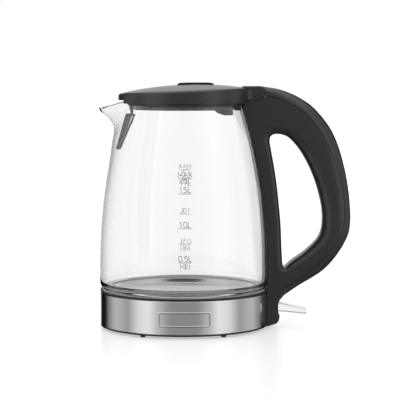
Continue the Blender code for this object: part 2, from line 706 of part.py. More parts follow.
def handle_fittings(looks, root):
    """The bracket that hooks the handle over the rim, its screws, and the steam tube."""
    hook = [(BRACKET_X, BRACKET_FOOT_Z), (51.6, BRACKET_FOOT_Z), (51.6, BRIDGE_Z[0]), (BRIDGE_X, BRIDGE_Z[0]),
            (BRIDGE_X, BRIDGE_Z[1]), (BRACKET_X, BRIDGE_Z[1])]
    bracket = add_object("rim_bracket", slab(hook, -BRACKET_HALF, BRACKET_HALF), looks["black_plastic"], root)
    inside = [(0, 190.0), (glass_radius(196.0) - GLASS_WALL - GAP, 190.0),
              (glass_radius(RIM_Z) - GLASS_WALL - GAP, BRIDGE_Z[0] - 0.01),
              (80.0, BRIDGE_Z[0] - 0.01), (80.0, 215.0), (0, 215.0)]
    change(bracket, "INTERSECT", turned(inside))
    cut(bracket, block((40.0, -3.0, 203.0), (49.0, 3.0, 206.0)),
        block((47.6, -3.0, 204.0), (49.0, 3.0, 212.0)),
        block((48.0, -3.0, BRIDGE_Z[1] - 0.9), (70.0, 3.0, 212.0)))
    for number, y in enumerate(BRACKET_SCREW_Y, start=1):
        centre = (BRACKET_SCREW_X, y)
        cut(bracket, disc(1.8, 205.0, 212.0, SMALL, centre), disc(2.9, 208.1, 212.0, SMALL, centre))
        add_object(f"bracket_screw_{number}", screw(centre, 208.3, 209.1, 2.5, 198.0, 1.5),
                   looks["polished_steel"], root)
    for number, y in enumerate(FOOT_SCREW_Y, start=1):
        shank = rod(FOOT_SCREW_R, (70.0, y, FOOT_SCREW_Z), (84.0, y, FOOT_SCREW_Z))
        obj = add_object(f"foot_screw_{number}", shank, looks["polished_steel"], root)
        join(obj, rod(2.7, (69.0, y, FOOT_SCREW_Z), (70.6, y, FOOT_SCREW_Z)))
    add_object("steam_tube", hose(tube_path(), 2.5, 1.7), looks["silicone"], root)
    add_object("hinge_pin", hinge_rod(PIN_R, PIN_HALF), looks["polished_steel"], root)
    add_object("hinge_spring", coil((HINGE_X, -3.2, HINGE_Z), "Y", 2.7, 0.45, 6.4, 5), looks["polished_steel"],
               root)


# --- filter ----------------------------------------------------------------------------------------------------


def spout_filter(looks, root):
    """The lift-out strainer behind the spout: a moulded V frame and two panels of steel mesh."""
    top_left, top_right = Vector((-50.4, -16.6, 197.0)), Vector((-50.4, 16.6, 197.0))
    foot_left, foot_right = Vector((-60.6, -8.0, 166.5)), Vector((-60.6, 8.0, 166.5))
    rib_top, rib_foot = Vector((-45.9, 0.0, 196.6)), Vector((-58.6, 0.0, 167.5))
    frame = add_object("filter_frame", strut(top_left, foot_left, 2.0, 2.4), looks["black_plastic"], root)
    join(frame, strut(top_right, foot_right, 2.0, 2.4), strut(rib_top, rib_foot, 1.6, 1.4),
         strut(top_left, rib_top, 2.0, 2.0), strut(top_right, rib_top, 2.0, 2.0),
         strut(foot_left, foot_right, 2.4, 2.4), strut(foot_left, rib_foot, 1.6, 1.6),
         strut(foot_right, rib_foot, 1.6, 1.6),
         block((-48.9, -2.5, 195.8), (-47.0, 2.5, 205.0)))
    thickness = Vector((0.15, 0.0, 0.0))
    margin = 1.7
    for number, (top, foot) in enumerate(((top_left, foot_left), (top_right, foot_right)), start=1):
        frame_corners = [top, rib_top, rib_foot, foot]
        corners = []
        for i, corner in enumerate(frame_corners):
            back = (frame_corners[i - 1] - corner).normalized()
            ahead = (frame_corners[(i + 1) % 4] - corner).normalized()
            corners.append(corner + (back + ahead) * margin / back.cross(ahead).length)
        rings = [[c - thickness for c in corners], [c + thickness for c in corners]]
        add_object(f"filter_mesh_{number}", rings_solid(rings, closed=False), looks["polished_steel"], root)


# --- lid -------------------------------------------------------------------------------------------------------


def lid_top(x, radius):
    """Height of the lid's upper surface: a shallow crown on a disc that climbs towards the hinge."""
    return LID_EDGE_Z + LID_SLOPE * x + LID_CROWN * (1 - (radius / LID_R) ** 2)


def lid_shell():
    """The lid's skirt and crowned top, hollow from below."""
    outer = [(LID_R, LID_SKIRT_Z), (LID_R, LID_EDGE_Z - 2.0), (LID_R - 0.5, LID_EDGE_Z - 0.7),
             (LID_R - 1.6, LID_EDGE_Z + 0.3)]
    crown = [(r, LID_EDGE_Z + LID_CROWN * (1 - (r / LID_R) ** 2)) for r in (52.0, 43.0, 32.0, 18.0, 0)]
    below = [(r, z - LID_WALL) for r, z in reversed(crown[1:])]
    inner = [(LID_R - LID_WALL - 1.5, LID_EDGE_Z - 0.7), (LID_R - LID_WALL, LID_EDGE_Z - 2.6),
             (LID_R - LID_WALL, LID_SKIRT_Z)]
    bm = turned(below + inner + outer + crown)
    for vertex in bm.verts:
        share = min(max((vertex.co.z - LID_SKIRT_Z) / (LID_EDGE_Z - LID_SKIRT_Z), 0.0), 1.0)
        vertex.co.z += LID_SLOPE * vertex.co.x * share
    return bm


def shoulder(side):
    """The hollow corner that leads the round lid into the straight side of the knuckle."""
    fillet = 8.0
    sunk = 0.2  # how far its ends lie inside the lid and the knuckle, so that they join cleanly
    centre_y = HINGE_HALF - sunk + fillet
    centre_x = math.sqrt((LID_R - sunk + fillet) ** 2 - centre_y ** 2)
    start = math.degrees(math.atan2(-centre_y, -centre_x)) + 360
    plan = arc(centre_x, centre_y, fillet, start, 270, 5)
    plan += [(centre_x, HINGE_HALF - 4.0), (53.4, HINGE_HALF - 4.0), (53.4, 24.3)]
    rings = [[(x, y * side, z) for x, y in plan] for z in (LID_NOTCH_Z + 0.9, LID_EDGE_Z + 1.6)]
    return rings_solid(rings, closed=False)


def knuckle_outline():
    arc_points = arc(HINGE_X, HINGE_Z, KNUCKLE_R, 56, -90, 12)
    return [(52.2, LID_NOTCH_Z), (52.2, 222.0), (54.6, 223.5)] + arc_points


def lid(looks, pivot):
    cap = add_object("lid_cap", lid_shell(), looks["black_plastic"], pivot)
    knuckle = [(x, z, 1.6 if z > 221 else 0.8) for x, z in knuckle_outline()]
    join(cap, pillow([knuckle], HINGE_HALF, 2), shoulder(1), shoulder(-1))
    notch = [(40.0, 200.0), (62.0, 200.0), (62.0, LID_NOTCH_Z - 0.1), (56.9, LID_NOTCH_Z - 0.1),
             (56.9, BRIDGE_Z[1] + GAP), (40.0, BRIDGE_Z[1] + GAP)]
    cut(cap, slab(notch, -HINGE_HALF - 0.9, HINGE_HALF + 0.9),
        block((-70.0, -27.0, 200.0), (-54.4, 27.0, LID_NOTCH_Z)))
    # room for the handle's lugs as the lid turns round them, and the pin's bore
    cut(cap, hinge_rod(LUG_R + 0.5, 7.0),
        slab([(HINGE_X - 4.2, 200.0), (90.0, 200.0), (90.0, HINGE_Z + 4.2), (HINGE_X, HINGE_Z + 4.2),
              (HINGE_X - 4.2, HINGE_Z)], -7.0, 7.0),
        hinge_rod(PIN_R + GAP, PIN_HALF + GAP))
    x0, x1 = BUTTON_X
    cut(cap, slab([(x0 - 0.4, 216.0), (x1 + 0.4, 216.0), (x1 + 0.4, 230.0), (x0 - 0.4, 230.0)],
                  -BUTTON_HALF - 0.4, BUTTON_HALF + 0.4))
    for centre in LID_SCREWS:
        join(cap, disc(3.2, PLUG_PLATE_TOP + GAP, lid_top(centre[0], 32.0) - 1.2, SMALL, centre))
        cut(cap, disc(1.5, 200.0, 212.0, SMALL, centre))

    plug_wall = PLUG_R - 2.0
    flange = 57.9
    outline = [(0, PLUG_Z), (PLUG_R - 0.5, PLUG_Z), (PLUG_R, PLUG_Z + 0.5), (PLUG_R, 207.2), (57.0, 207.2),
               (57.0, 205.8), (flange, 205.8), (flange, 208.8), (plug_wall, 208.8), (plug_wall, PLUG_PLATE_TOP), (0, PLUG_PLATE_TOP)]
    plug = add_object("lid_inner", turned(outline), looks["gloss_plastic"], pivot)
    cut(plug, block((45.6, -HINGE_HALF - 0.9, 200.0), (70.0, HINGE_HALF + 0.9, 212.0)),
        block((-70.0, -29.0, 205.0), (-46.6, 29.0, 212.0)),
        block((24.2, -LATCH_HALF - 0.8, 195.0), (50.0, LATCH_HALF + 0.8, 212.0)))
    for number, centre in enumerate(LID_SCREWS, start=1):
        cut(plug, disc(3.0, 200.0, 202.8, SMALL, centre), disc(1.5, 202.0, 206.0, SMALL, centre))
        add_object(f"lid_screw_{number}", screw(centre, 201.3, 202.5, 2.6, 211.0, 1.2),
                   looks["polished_steel"], pivot)


def lid_button(looks, lid_pivot, button_pivot, latch_pivot):
    """The push button, the spring under it and the latch that its legs push towards the spout."""
    x0, x1 = BUTTON_X
    outline = [(x0, BUTTON_FLOOR, 1.0), (x0, BUTTON_TOP - 1.3, 1.2), (x0 + 2.0, BUTTON_TOP - 0.4, 1.2),
               (x0 + 9.0, BUTTON_TOP, 1.2), (x1 - 6.0, BUTTON_TOP, 1.2), (x1 - 0.8, BUTTON_TOP - 0.6, 1.2),
               (x1, BUTTON_TOP - 1.4, 1.2), (x1, BUTTON_FLOOR, 1.0)]
    button = add_object("lid_button", pillow([outline], BUTTON_HALF, 3), looks["gloss_plastic"], button_pivot)
    join(button, block((x0 - 1.6, -BUTTON_HALF - 1.6, BUTTON_FLOOR - 0.2),
                       (x1 + 1.6, BUTTON_HALF + 1.6, BUTTON_FLOOR + 1.2)))
    leg = [(2.0, BUTTON_FLOOR + 0.5), (2.0, 216.0), (8.7, 209.3), (12.0, 209.3), (12.0, BUTTON_FLOOR + 0.5)]
    join(button, slab(leg, -8.0, -4.8), slab(leg, 4.8, 8.0))

    latch = [(-2.0, 204.6), (-2.0, 213.4), (4.0, 213.4), (10.8, 206.6), (44.9, 206.6), (44.9, 197.2),
             (44.2, 196.5), (37.0, 196.5), (31.0, 198.4), (27.5, 200.8), (27.5, 204.6)]
    obj = add_object("lid_latch", slab(latch, -LATCH_HALF, LATCH_HALF), looks["black_plastic"], latch_pivot)
    cut(obj, block((6.2, -4.4, 200.0), (17.6, 4.4, 220.0)))
    add_object("button_spring", coil((SPRING_X, 0.0, PLUG_PLATE_TOP + 0.8), "Z", 3.2, 0.45, 14.6, 6),
               looks["polished_steel"], lid_pivot)


def main():
    clear_scene()
    looks = {name: material(name, *values) for name, values in LOOKS.items()}

    root = add_empty("kettle", (0.0, 0.0, 0.0))
    root.location = (JUG_AXIS_X * MM, 0.0, 0.0)
    lid_pivot = add_empty("lid_pivot", (HINGE_X, 0.0, HINGE_Z), root)
    button_pivot = add_empty("button_pivot", (SPRING_X, 0.0, BUTTON_TOP), lid_pivot)
    latch_pivot = add_empty("latch_pivot", (44.9, 0.0, 204.6), lid_pivot)
    switch_pivot = add_empty("switch_pivot", (SWITCH_X, 0.0, SWITCH_Z), root)

    glass_jug(looks, root)
    base_ring(looks, root)
    steel_band(looks, root)
    base_cover(looks, root)
    base_fittings(looks, root)
    hotplate(looks, root)
    heater(looks, root)
    control(looks, root)
    steam_switch(looks, root, switch_pivot)
    leads(looks, root)
    handle(looks, root)
    handle_fittings(looks, root)
    spout_filter(looks, root)
    lid(looks, lid_pivot)
    lid_button(looks, lid_pivot, button_pivot, latch_pivot)


main()
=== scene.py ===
"""Looks for the cordless glass kettle: finer versions of the pieces that show, and every material.

Lengths are in millimetres about the jug's vertical axis, with Z = 0 on the table, the spout towards -X and
the handle towards +X, as the frame was made. new_object turns them into metres and moves them into the row
frame.
"""

import math

import bmesh
import bpy
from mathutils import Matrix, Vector

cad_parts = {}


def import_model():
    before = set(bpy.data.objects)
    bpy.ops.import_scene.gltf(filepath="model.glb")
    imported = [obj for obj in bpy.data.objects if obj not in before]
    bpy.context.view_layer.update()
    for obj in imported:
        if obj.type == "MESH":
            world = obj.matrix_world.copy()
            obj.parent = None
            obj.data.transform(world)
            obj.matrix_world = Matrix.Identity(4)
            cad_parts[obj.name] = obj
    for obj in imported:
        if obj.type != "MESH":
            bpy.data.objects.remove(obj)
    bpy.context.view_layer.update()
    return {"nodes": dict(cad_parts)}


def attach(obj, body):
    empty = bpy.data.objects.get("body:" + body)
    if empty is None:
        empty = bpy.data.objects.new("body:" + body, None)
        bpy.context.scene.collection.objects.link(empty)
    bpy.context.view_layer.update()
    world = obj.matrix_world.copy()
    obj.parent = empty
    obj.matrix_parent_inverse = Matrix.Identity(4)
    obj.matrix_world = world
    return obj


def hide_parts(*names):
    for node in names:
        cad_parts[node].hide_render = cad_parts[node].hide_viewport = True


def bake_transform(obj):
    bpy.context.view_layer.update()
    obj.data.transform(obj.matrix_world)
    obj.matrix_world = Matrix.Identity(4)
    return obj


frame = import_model()

MM = 0.001
AXIS_X = -37.3  # the jug's axis in the row frame
GAP = 0.3
ROUND = 160  # sides of large turned pieces
SMALL = 28  # sides of small ones

BAND_R = 77.9
BAND_THICKNESS = 0.8
BAND_BOTTOM = 3.8
BAND_TOP = 33.9
FLOOR_Z = 2.3
RING_TOP = 36.0
SCREW_CIRCLE_R = 70.5
FOOT_CIRCLE_R = 72.0
HOUSING_R = 21.0

PLATE_FLOOR_Z = 33.4
PLATE_RIM_Z = 38.3
PLATE_RIM_R = 65.4
PLATE_SHEET = 0.8

GLASS_SIDE = ((44.0, 78.4), (62.0, 78.3), (90.0, 77.3), (118.0, 74.8), (146.0, 70.7), (173.0, 65.1),
              (192.0, 60.0), (206.7, 55.9))
GLASS_WALL = 3.0
RIM_Z = 206.7
SPOUT_REACH_BY_Z = ((150.0, 0.0), (173.0, 1.6), (185.0, 2.8), (192.0, 7.6), (196.6, 12.6), (201.2, 19.3),
                    (206.7, 23.5))

LID_R = 60.6
LID_WALL = 2.2
LID_SKIRT_Z = 207.7
LID_EDGE_Z = 219.0
LID_SLOPE = 0.0412
LID_CROWN = 5.9
LID_NOTCH_Z = 210.6
PLUG_R = 46.6
PLUG_Z = 201.2
PLUG_PLATE_TOP = 204.2
LID_SCREWS = ((-20.0, -22.0), (-20.0, 22.0))

HINGE_X = 66.9
HINGE_Z = 217.7
KNUCKLE_R = 7.1
SEAT_R = 7.5
LUG_R = 5.4
PIN_R = 1.5
PIN_HALF = 13.5
HINGE_HALF = 16.5

BUTTON_X = (-5.9, 27.2)
BUTTON_HALF = 8.5
BUTTON_TOP = 226.8
BUTTON_FLOOR = 220.6
SPRING_X = 10.6
SPRING_FOOT = 205.0
SPRING_LENGTH = 14.6
LATCH_HALF = 8.2

HANDLE_HALF = 16.5
TONGUE_HALF = 7.0
HANDLE_REACH = 154.0
BRACKET_HALF = 12.0
BRIDGE_X = 64.0
BRIDGE_Z = (207.0, 209.2)
BRACKET_SCREW_X = 60.6
BRACKET_SCREW_Y = (-8.0, 8.0)
FOOT_SCREW_Y = (-13.4, 13.4)
FOOT_SCREW_Z = 24.0
FOOT_SCREW_R = 1.5

SWITCH_X = 80.5
SWITCH_Z = 19.2
PADDLE_HALF = 7.0


# --- curves and outlines ---


def interpolate(table, at):
    """The value at `at` on a smooth curve through a table of (place, value) pairs."""
    places = [place for place, _ in table]
    values = [value for _, value in table]
    if at <= places[0]:
        return values[0]
    if at >= places[-1]:
        return values[-1]
    last = len(table) - 1
    i = max(k for k in range(last) if places[k] <= at)

    def tangent(k):
        low, high = max(k - 1, 0), min(k + 1, last)
        return (values[high] - values[low]) / (places[high] - places[low])

    width = places[i + 1] - places[i]
    t = (at - places[i]) / width
    rise = t * t * (3 - 2 * t)
    return (values[i] * (1 - rise) + values[i + 1] * rise
            + width * tangent(i) * t * (1 - t) ** 2 - width * tangent(i + 1) * t * t * (1 - t))


def smooth_path(points, steps, closed=False):
    """Catmull-Rom curve through points of any dimension, with `steps` points for each stretch."""
    points = [Vector(p) for p in points]
    count = len(points)
    stretches = count if closed else count - 1
    path = []
    for i in range(stretches):
        if closed:
            a, b, c, d = (points[(i + k) % count] for k in (-1, 0, 1, 2))
        else:
            a, b, c, d = (points[min(max(i + k, 0), count - 1)] for k in (-1, 0, 1, 2))
        for step in range(steps):
            t = step / steps
            path.append(0.5 * (2 * b + (c - a) * t + (2 * a - 5 * b + 4 * c - d) * t * t
                               + (3 * b - a - 3 * c + d) * t ** 3))
    if not closed:
        path.append(points[-1])
    return path


def arc(centre_x, centre_z, radius, start, end, steps):
    """Points on an arc, angles in degrees."""
    angles = [math.radians(start + (end - start) * k / steps) for k in range(steps + 1)]
    return [(centre_x + radius * math.cos(a), centre_z + radius * math.sin(a)) for a in angles]


def eased(outline, radius, steps=4, closed=True):
    """An outline with its corners rounded, as moulded and turned pieces have."""
    made = []
    count = len(outline)
    for i, corner in enumerate(outline):
        corner = Vector(corner)
        if not closed and i in (0, count - 1):
            made.append(tuple(corner))
            continue
        back = Vector(outline[i - 1]) - corner
        ahead = Vector(outline[(i + 1) % count]) - corner
        turn = math.pi - back.angle(ahead, math.pi)
        if turn < math.radians(12):
            made.append(tuple(corner))
            continue
        reach = min(radius * math.tan(turn / 2), 0.45 * back.length, 0.45 * ahead.length)
        start, end = corner + back.normalized() * reach, corner + ahead.normalized() * reach
        for step in range(steps + 1):
            t = step / steps
            made.append(tuple((1 - t) ** 2 * start + 2 * t * (1 - t) * corner + t * t * end))
    return made


def glass_radius(z):
    return interpolate(GLASS_SIDE, z)


# --- solids ---


def bridge(bm, first, second):
    if len(first) == 1 and len(second) == 1:
        return
    count = max(len(first), len(second))
    for i in range(count):
        corners = [first[i % len(first)], first[(i + 1) % len(first)],
                   second[(i + 1) % len(second)], second[i % len(second)]]
        bm.faces.new(list(dict.fromkeys(corners)))


def rings_solid(rings, closed):
    """A solid from rings of points: closed into a loop, or open with its ends capped."""
    bm = bmesh.new()
    made = [[bm.verts.new(p) for p in ring] for ring in rings]
    for first, second in zip(made, made[1:]):
        bridge(bm, first, second)
    if closed:
        bridge(bm, made[-1], made[0])
    else:
        for ring in (made[0], made[-1]):
            if len(ring) > 2:
                bm.faces.new(ring)
    bmesh.ops.recalc_face_normals(bm, faces=bm.faces)
    return bm


def turned(outline, segments=ROUND, centre=(0.0, 0.0)):
    """An outline of (radius, height) turned about a vertical axis."""
    turns = [2 * math.pi * k / segments for k in range(segments)]
    on_axis = outline[0][0] == 0
    if on_axis:
        flat_start = outline[0][1] == outline[1][1]
        flat_end = outline[-1][1] == outline[-2][1]
        outline = outline[flat_start:len(outline) - flat_end]
    rings = []
    for radius, z in outline:
        if radius == 0:
            rings.append([(centre[0], centre[1], z)])
        else:
            rings.append([(centre[0] + radius * math.cos(a), centre[1] + radius * math.sin(a), z)
                          for a in turns])
    return rings_solid(rings, closed=not on_axis)


def disc(radius, low, high, segments=SMALL, centre=(0.0, 0.0)):
    return turned([(0, low), (radius, low), (radius, high), (0, high)], segments, centre)


def slab(outline, low, high):
    """An outline in X and Z, extruded along Y."""
    return rings_solid([[(x, low, z) for x, z in outline], [(x, high, z) for x, z in outline]], closed=False)


def block(low, high):
    x0, y0, z0 = low
    x1, y1, z1 = high
    return slab([(x0, z0), (x1, z0), (x1, z1), (x0, z1)], y0, y1)


def frames_along(path):
    """A point and two cross directions at each point of a path, carried along it without twisting."""
    frames = []
    side = None
    for i, point in enumerate(path):
        ahead = (path[min(i + 1, len(path) - 1)] - path[max(i - 1, 0)]).normalized()
        if side is None:
            side = ahead.orthogonal().normalized()
        side = (side - ahead * side.dot(ahead)).normalized()
        frames.append((point, side, ahead.cross(side)))
    return frames


def ring_round(place, radius, segments):
    """Points round one place on a path."""
    point, side, up = place
    turns = [2 * math.pi * k / segments for k in range(segments)]
    return [point + radius * (math.cos(a) * side + math.sin(a) * up) for a in turns]


def swept(path, radius, segments=8):
    """A round bar along a path."""
    rings = [ring_round(place, radius, segments) for place in frames_along(path)]
    return rings_solid(rings, closed=False)


def rod(radius, start, end, segments=SMALL):
    return swept([Vector(start), Vector(end)], radius, segments)


def hose(path, outer, inner, segments=20):
    """A tube along a path, open at both ends."""
    places = frames_along(path)
    rings = [ring_round(place, outer, segments) for place in places]
    rings += [ring_round(place, inner, segments) for place in reversed(places)]
    return rings_solid(rings, closed=True)


def coil(foot, radius, wire, length, turns, steps=28, segments=10):
    """An upright helical spring, standing on `foot`."""
    count = int(turns * steps)
    path = []
    for k in range(count + 1):
        a = 2 * math.pi * k / steps
        across = (radius * math.cos(a), radius * math.sin(a))
        path.append(Vector(foot) + Vector((*across, length * k / count)))
    return swept(path, wire, segments)


def pillow(loops, half_width, steps=9):
    """A plate in X and Z, as thick as twice half_width, with rounded edges.

    Each loop is a closed list of (x, z, edge radius); the first is the outside and the others are holes.
    """
    bm = bmesh.new()
    cap_edges = {-1: [], 1: []}
    for index, loop in enumerate(loops):
        count = len(loop)
        area = sum(loop[i][0] * loop[(i + 1) % count][1] - loop[(i + 1) % count][0] * loop[i][1]
                   for i in range(count))
        turn = (1 if area > 0 else -1) * (1 if index == 0 else -1)
        inward = []
        for i in range(count):
            before, after = loop[i - 1], loop[(i + 1) % count]
            run = Vector((after[0] - before[0], after[1] - before[1])).normalized()
            inward.append(Vector((-run.y, run.x)) * turn)
        rings = []
        for side in (-1, 1):
            order = range(steps, -1, -1) if side < 0 else range(steps + 1)
            for step in order:
                phi = math.pi / 2 * step / steps
                ring = []
                for (x, z, radius), direction in zip(loop, inward):
                    inset = radius * (1 - math.cos(phi))
                    y = side * (half_width - radius + radius * math.sin(phi))
                    ring.append(bm.verts.new((x + direction.x * inset, y, z + direction.y * inset)))
                rings.append(ring)
        for first, second in zip(rings, rings[1:]):
            bridge(bm, first, second)
        for side, ring in ((-1, rings[0]), (1, rings[-1])):
            for i in range(count):
                cap_edges[side].append(bm.edges.get((ring[i], ring[(i + 1) % count])))
    for side, edges in cap_edges.items():
        bmesh.ops.triangle_fill(bm, use_beauty=True, edges=edges, normal=(0, side, 0))
    bmesh.ops.recalc_face_normals(bm, faces=bm.faces)
    return bm


# --- pieces ---


def new_object(name, bm):
    """An object whose own origin is on the jug's axis, so that object coordinates are about that axis."""
    for vertex in bm.verts:
        vertex.co *= MM
    mesh = bpy.data.meshes.new(name)
    bm.to_mesh(mesh)
    bm.free()
    obj = bpy.data.objects.new(name, mesh)
    bpy.context.scene.collection.objects.link(obj)
    obj.location.x = AXIS_X * MM
    return obj


def shape(name, bm, *changes):
    """An object with Boolean changes applied; each is an operation letter ('-', '+' or '&') and a solid."""
    obj = new_object(name, bm)
    if not changes:
        return obj
    kinds = {"-": "DIFFERENCE", "+": "UNION", "&": "INTERSECT"}
    guides = []
    for kind, solid in changes:
        guide = new_object(f"{name}_guide", solid)
        guides.append(guide)
        step = obj.modifiers.new("change", "BOOLEAN")
        step.operation = kinds[kind]
        step.solver = "EXACT"
        step.object = guide
    graph = bpy.context.evaluated_depsgraph_get()
    made = bpy.data.meshes.new_from_object(obj.evaluated_get(graph))
    obj.modifiers.clear()
    plain = obj.data
    obj.data = made
    made.name = name
    bpy.data.meshes.remove(plain)
    for guide in guides:
        mesh = guide.data
        bpy.data.objects.remove(guide)
        bpy.data.meshes.remove(mesh)
    return obj


def finish_piece(obj, look, body, replaces=(), sharp=32.0, bevel=0.0, flat=False):
    """Shading, finish, body and the CAD nodes that the piece stands for."""
    if flat:
        obj.data.shade_flat()
    else:
        obj.data.shade_smooth()
        obj.data.set_sharp_from_angle(angle=math.radians(sharp))
    if bevel:
        step = obj.modifiers.new("edges", "BEVEL")
        step.width = bevel * MM
        step.segments = 3
        step.limit_method = "ANGLE"
        step.angle_limit = math.radians(40)
    obj.data.materials.clear()
    obj.data.materials.append(look)
    if body:
        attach(obj, body)
    if replaces:
        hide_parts(*replaces)
    return obj


def around(count, radius, first=0.0):
    angles = [math.radians(first + 360 * k / count) for k in range(count)]
    return [(radius * math.cos(a), radius * math.sin(a)) for a in angles]


# --- materials ---


def maths_output(tree, operation, a, b=None):
    """The output of a Math node whose inputs are numbers or other outputs."""
    node = tree.nodes.new("ShaderNodeMath")
    node.operation = operation
    for socket, value in zip(node.inputs, (a, b)):
        if isinstance(value, (int, float)):
            socket.default_value = value
        elif value is not None:
            tree.links.new(value, socket)
    return node.outputs[0]


class Look:
    """A node material built up from its Principled shader."""

    def __init__(self, name, **settings):
        self.material = bpy.data.materials.new(name)
        self.material.use_nodes = True
        self.nodes = self.material.node_tree.nodes
        self.links = self.material.node_tree.links
        self.shader = self.nodes["Principled BSDF"]
        for key, value in settings.items():
            self.shader.inputs[key.replace("_", " ")].default_value = value

    def node(self, kind, **values):
        made = self.nodes.new(kind)
        for key, value in values.items():
            setattr(made, key, value)
        return made

    def link(self, source, target):
        self.links.new(source, target)

    def math(self, operation, a, b=None):
        return maths_output(self.material.node_tree, operation, a, b)

    def place(self):
        """Metres in the row frame, about the jug's axis."""
        return self.node("ShaderNodeTexCoord").outputs["Object"]

    def noise(self, scale, detail=2.0, where=None):
        node = self.node("ShaderNodeTexNoise")
        node.inputs["Scale"].default_value = scale
        node.inputs["Detail"].default_value = detail
        self.link(where or self.place(), node.inputs["Vector"])
        return node.outputs["Fac"]

    def between(self, value, low, high, from_low=0.0, from_high=1.0):
        node = self.node("ShaderNodeMapRange")
        node.inputs["From Min"].default_value = from_low
        node.inputs["From Max"].default_value = from_high
        node.inputs["To Min"].default_value = low
        node.inputs["To Max"].default_value = high
        self.link(value, node.inputs["Value"])
        return node.outputs["Result"]

    def mixed(self, value, first, second):
        node = self.node("ShaderNodeMix", data_type="RGBA")
        self.link(value, node.inputs["Factor"])
        for socket, colour in ((node.inputs[6], first), (node.inputs[7], second)):
            if isinstance(colour, tuple):
                socket.default_value = (*colour, 1.0)
            else:
                self.link(colour, socket)
        return node.outputs[2]

    def colour(self, output):
        self.link(output, self.shader.inputs["Base Color"])

    def roughness(self, output):
        self.link(output, self.shader.inputs["Roughness"])

    def bump(self, height, distance, strength=1.0):
        node = self.node("ShaderNodeBump")
        node.inputs["Distance"].default_value = distance
        node.inputs["Strength"].default_value = strength
        self.link(height, node.inputs["Height"])
        self.link(node.outputs["Normal"], self.shader.inputs["Normal"])

    def stretched(self, scale_x, scale_y, scale_z):
        node = self.node("ShaderNodeMapping")
        node.inputs["Scale"].default_value = (scale_x, scale_y, scale_z)
        self.link(self.place(), node.inputs["Vector"])
        return node.outputs["Vector"]

    def cylinder_place(self, radius, along, across):
        """Coordinates for grain that runs round the jug: fine across its height and long around it."""
        split = self.node("ShaderNodeSeparateXYZ")
        self.link(self.place(), split.inputs[0])
        x, y, z = split.outputs
        turn = self.math("ARCTAN2", y, x)
        joined = self.node("ShaderNodeCombineXYZ")
        self.link(self.math("MULTIPLY", self.math("COSINE", turn), radius * along), joined.inputs[0])
        self.link(self.math("MULTIPLY", self.math("SINE", turn), radius * along), joined.inputs[1])
        self.link(self.math("MULTIPLY", z, across), joined.inputs[2])
        return joined.outputs[0]


def plastic(name, colour, light, rough, grain=1.0):
    """Moulded plastic: a fine spark-eroded grain and faint changes of gloss."""
    look = Look(name, Specular_IOR_Level=0.5)
    slow = look.noise(22.0, 3.0)
    look.colour(look.mixed(slow, colour, light))
    look.roughness(look.between(look.noise(60.0, 4.0), rough - 0.04, rough + 0.04))
    look.bump(look.noise(3800.0, 2.0), 0.00006 * grain, 0.35)
    return look.material


def metal(name, colour, light, rough, scale=(40.0, 40.0, 40.0)):
    look = Look(name, Metallic=1.0)
    where = look.stretched(*scale)
    grain = look.noise(20.0, 4.0, where)
    look.colour(look.mixed(look.noise(14.0, 3.0), colour, light))
    look.roughness(look.between(grain, rough - 0.05, rough + 0.07))
    look.bump(grain, 0.00002, 0.4)
    return look.material


def brushed_band():
    """Stainless sheet brushed round the band."""
    look = Look("brushed_band", Metallic=1.0, Anisotropic=0.6, Anisotropic_Rotation=0.25)
    lines = look.noise(1.0, 2.0, look.cylinder_place(1.0, 40.0, 2600.0))
    broad = look.noise(1.0, 2.0, look.cylinder_place(1.0, 30.0, 500.0))
    look.colour(look.mixed(lines, (0.64, 0.63, 0.62), (0.67, 0.66, 0.645)))
    look.roughness(look.math("ADD", look.between(lines, 0.21, 0.25), look.between(broad, -0.02, 0.02)))
    look.bump(lines, 0.00001, 0.06)
    tangent = look.node("ShaderNodeTangent", direction_type="RADIAL", axis="Z")
    look.link(tangent.outputs[0], look.shader.inputs["Tangent"])
    return look.material


def plate_steel():
    """The hotplate: satin steel with a fine turned grain and the faint bloom that heating leaves."""
    look = Look("hotplate_steel", Metallic=1.0, Anisotropic=0.4)
    split = look.node("ShaderNodeSeparateXYZ")
    look.link(look.place(), split.inputs[0])
    x, y, _ = split.outputs
    radius = look.math("SQRT", look.math("ADD", look.math("MULTIPLY", x, x), look.math("MULTIPLY", y, y)))
    joined = look.node("ShaderNodeCombineXYZ")
    look.link(look.math("MULTIPLY", radius, 3000.0), joined.inputs[0])
    rings = look.noise(1.0, 3.0, joined.outputs[0])
    bloom = look.noise(18.0, 3.0)
    look.colour(look.mixed(bloom, (0.64, 0.635, 0.63), (0.72, 0.71, 0.70)))
    look.roughness(look.between(rings, 0.17, 0.27))
    look.bump(rings, 0.00003, 0.3)
    return look.material


def clear(name, colour, rough, ior):
    look = Look(name, Transmission_Weight=1.0, IOR=ior)
    look.shader.inputs["Base Color"].default_value = (*colour, 1.0)
    look.shader.inputs["Roughness"].default_value = rough
    return look.material


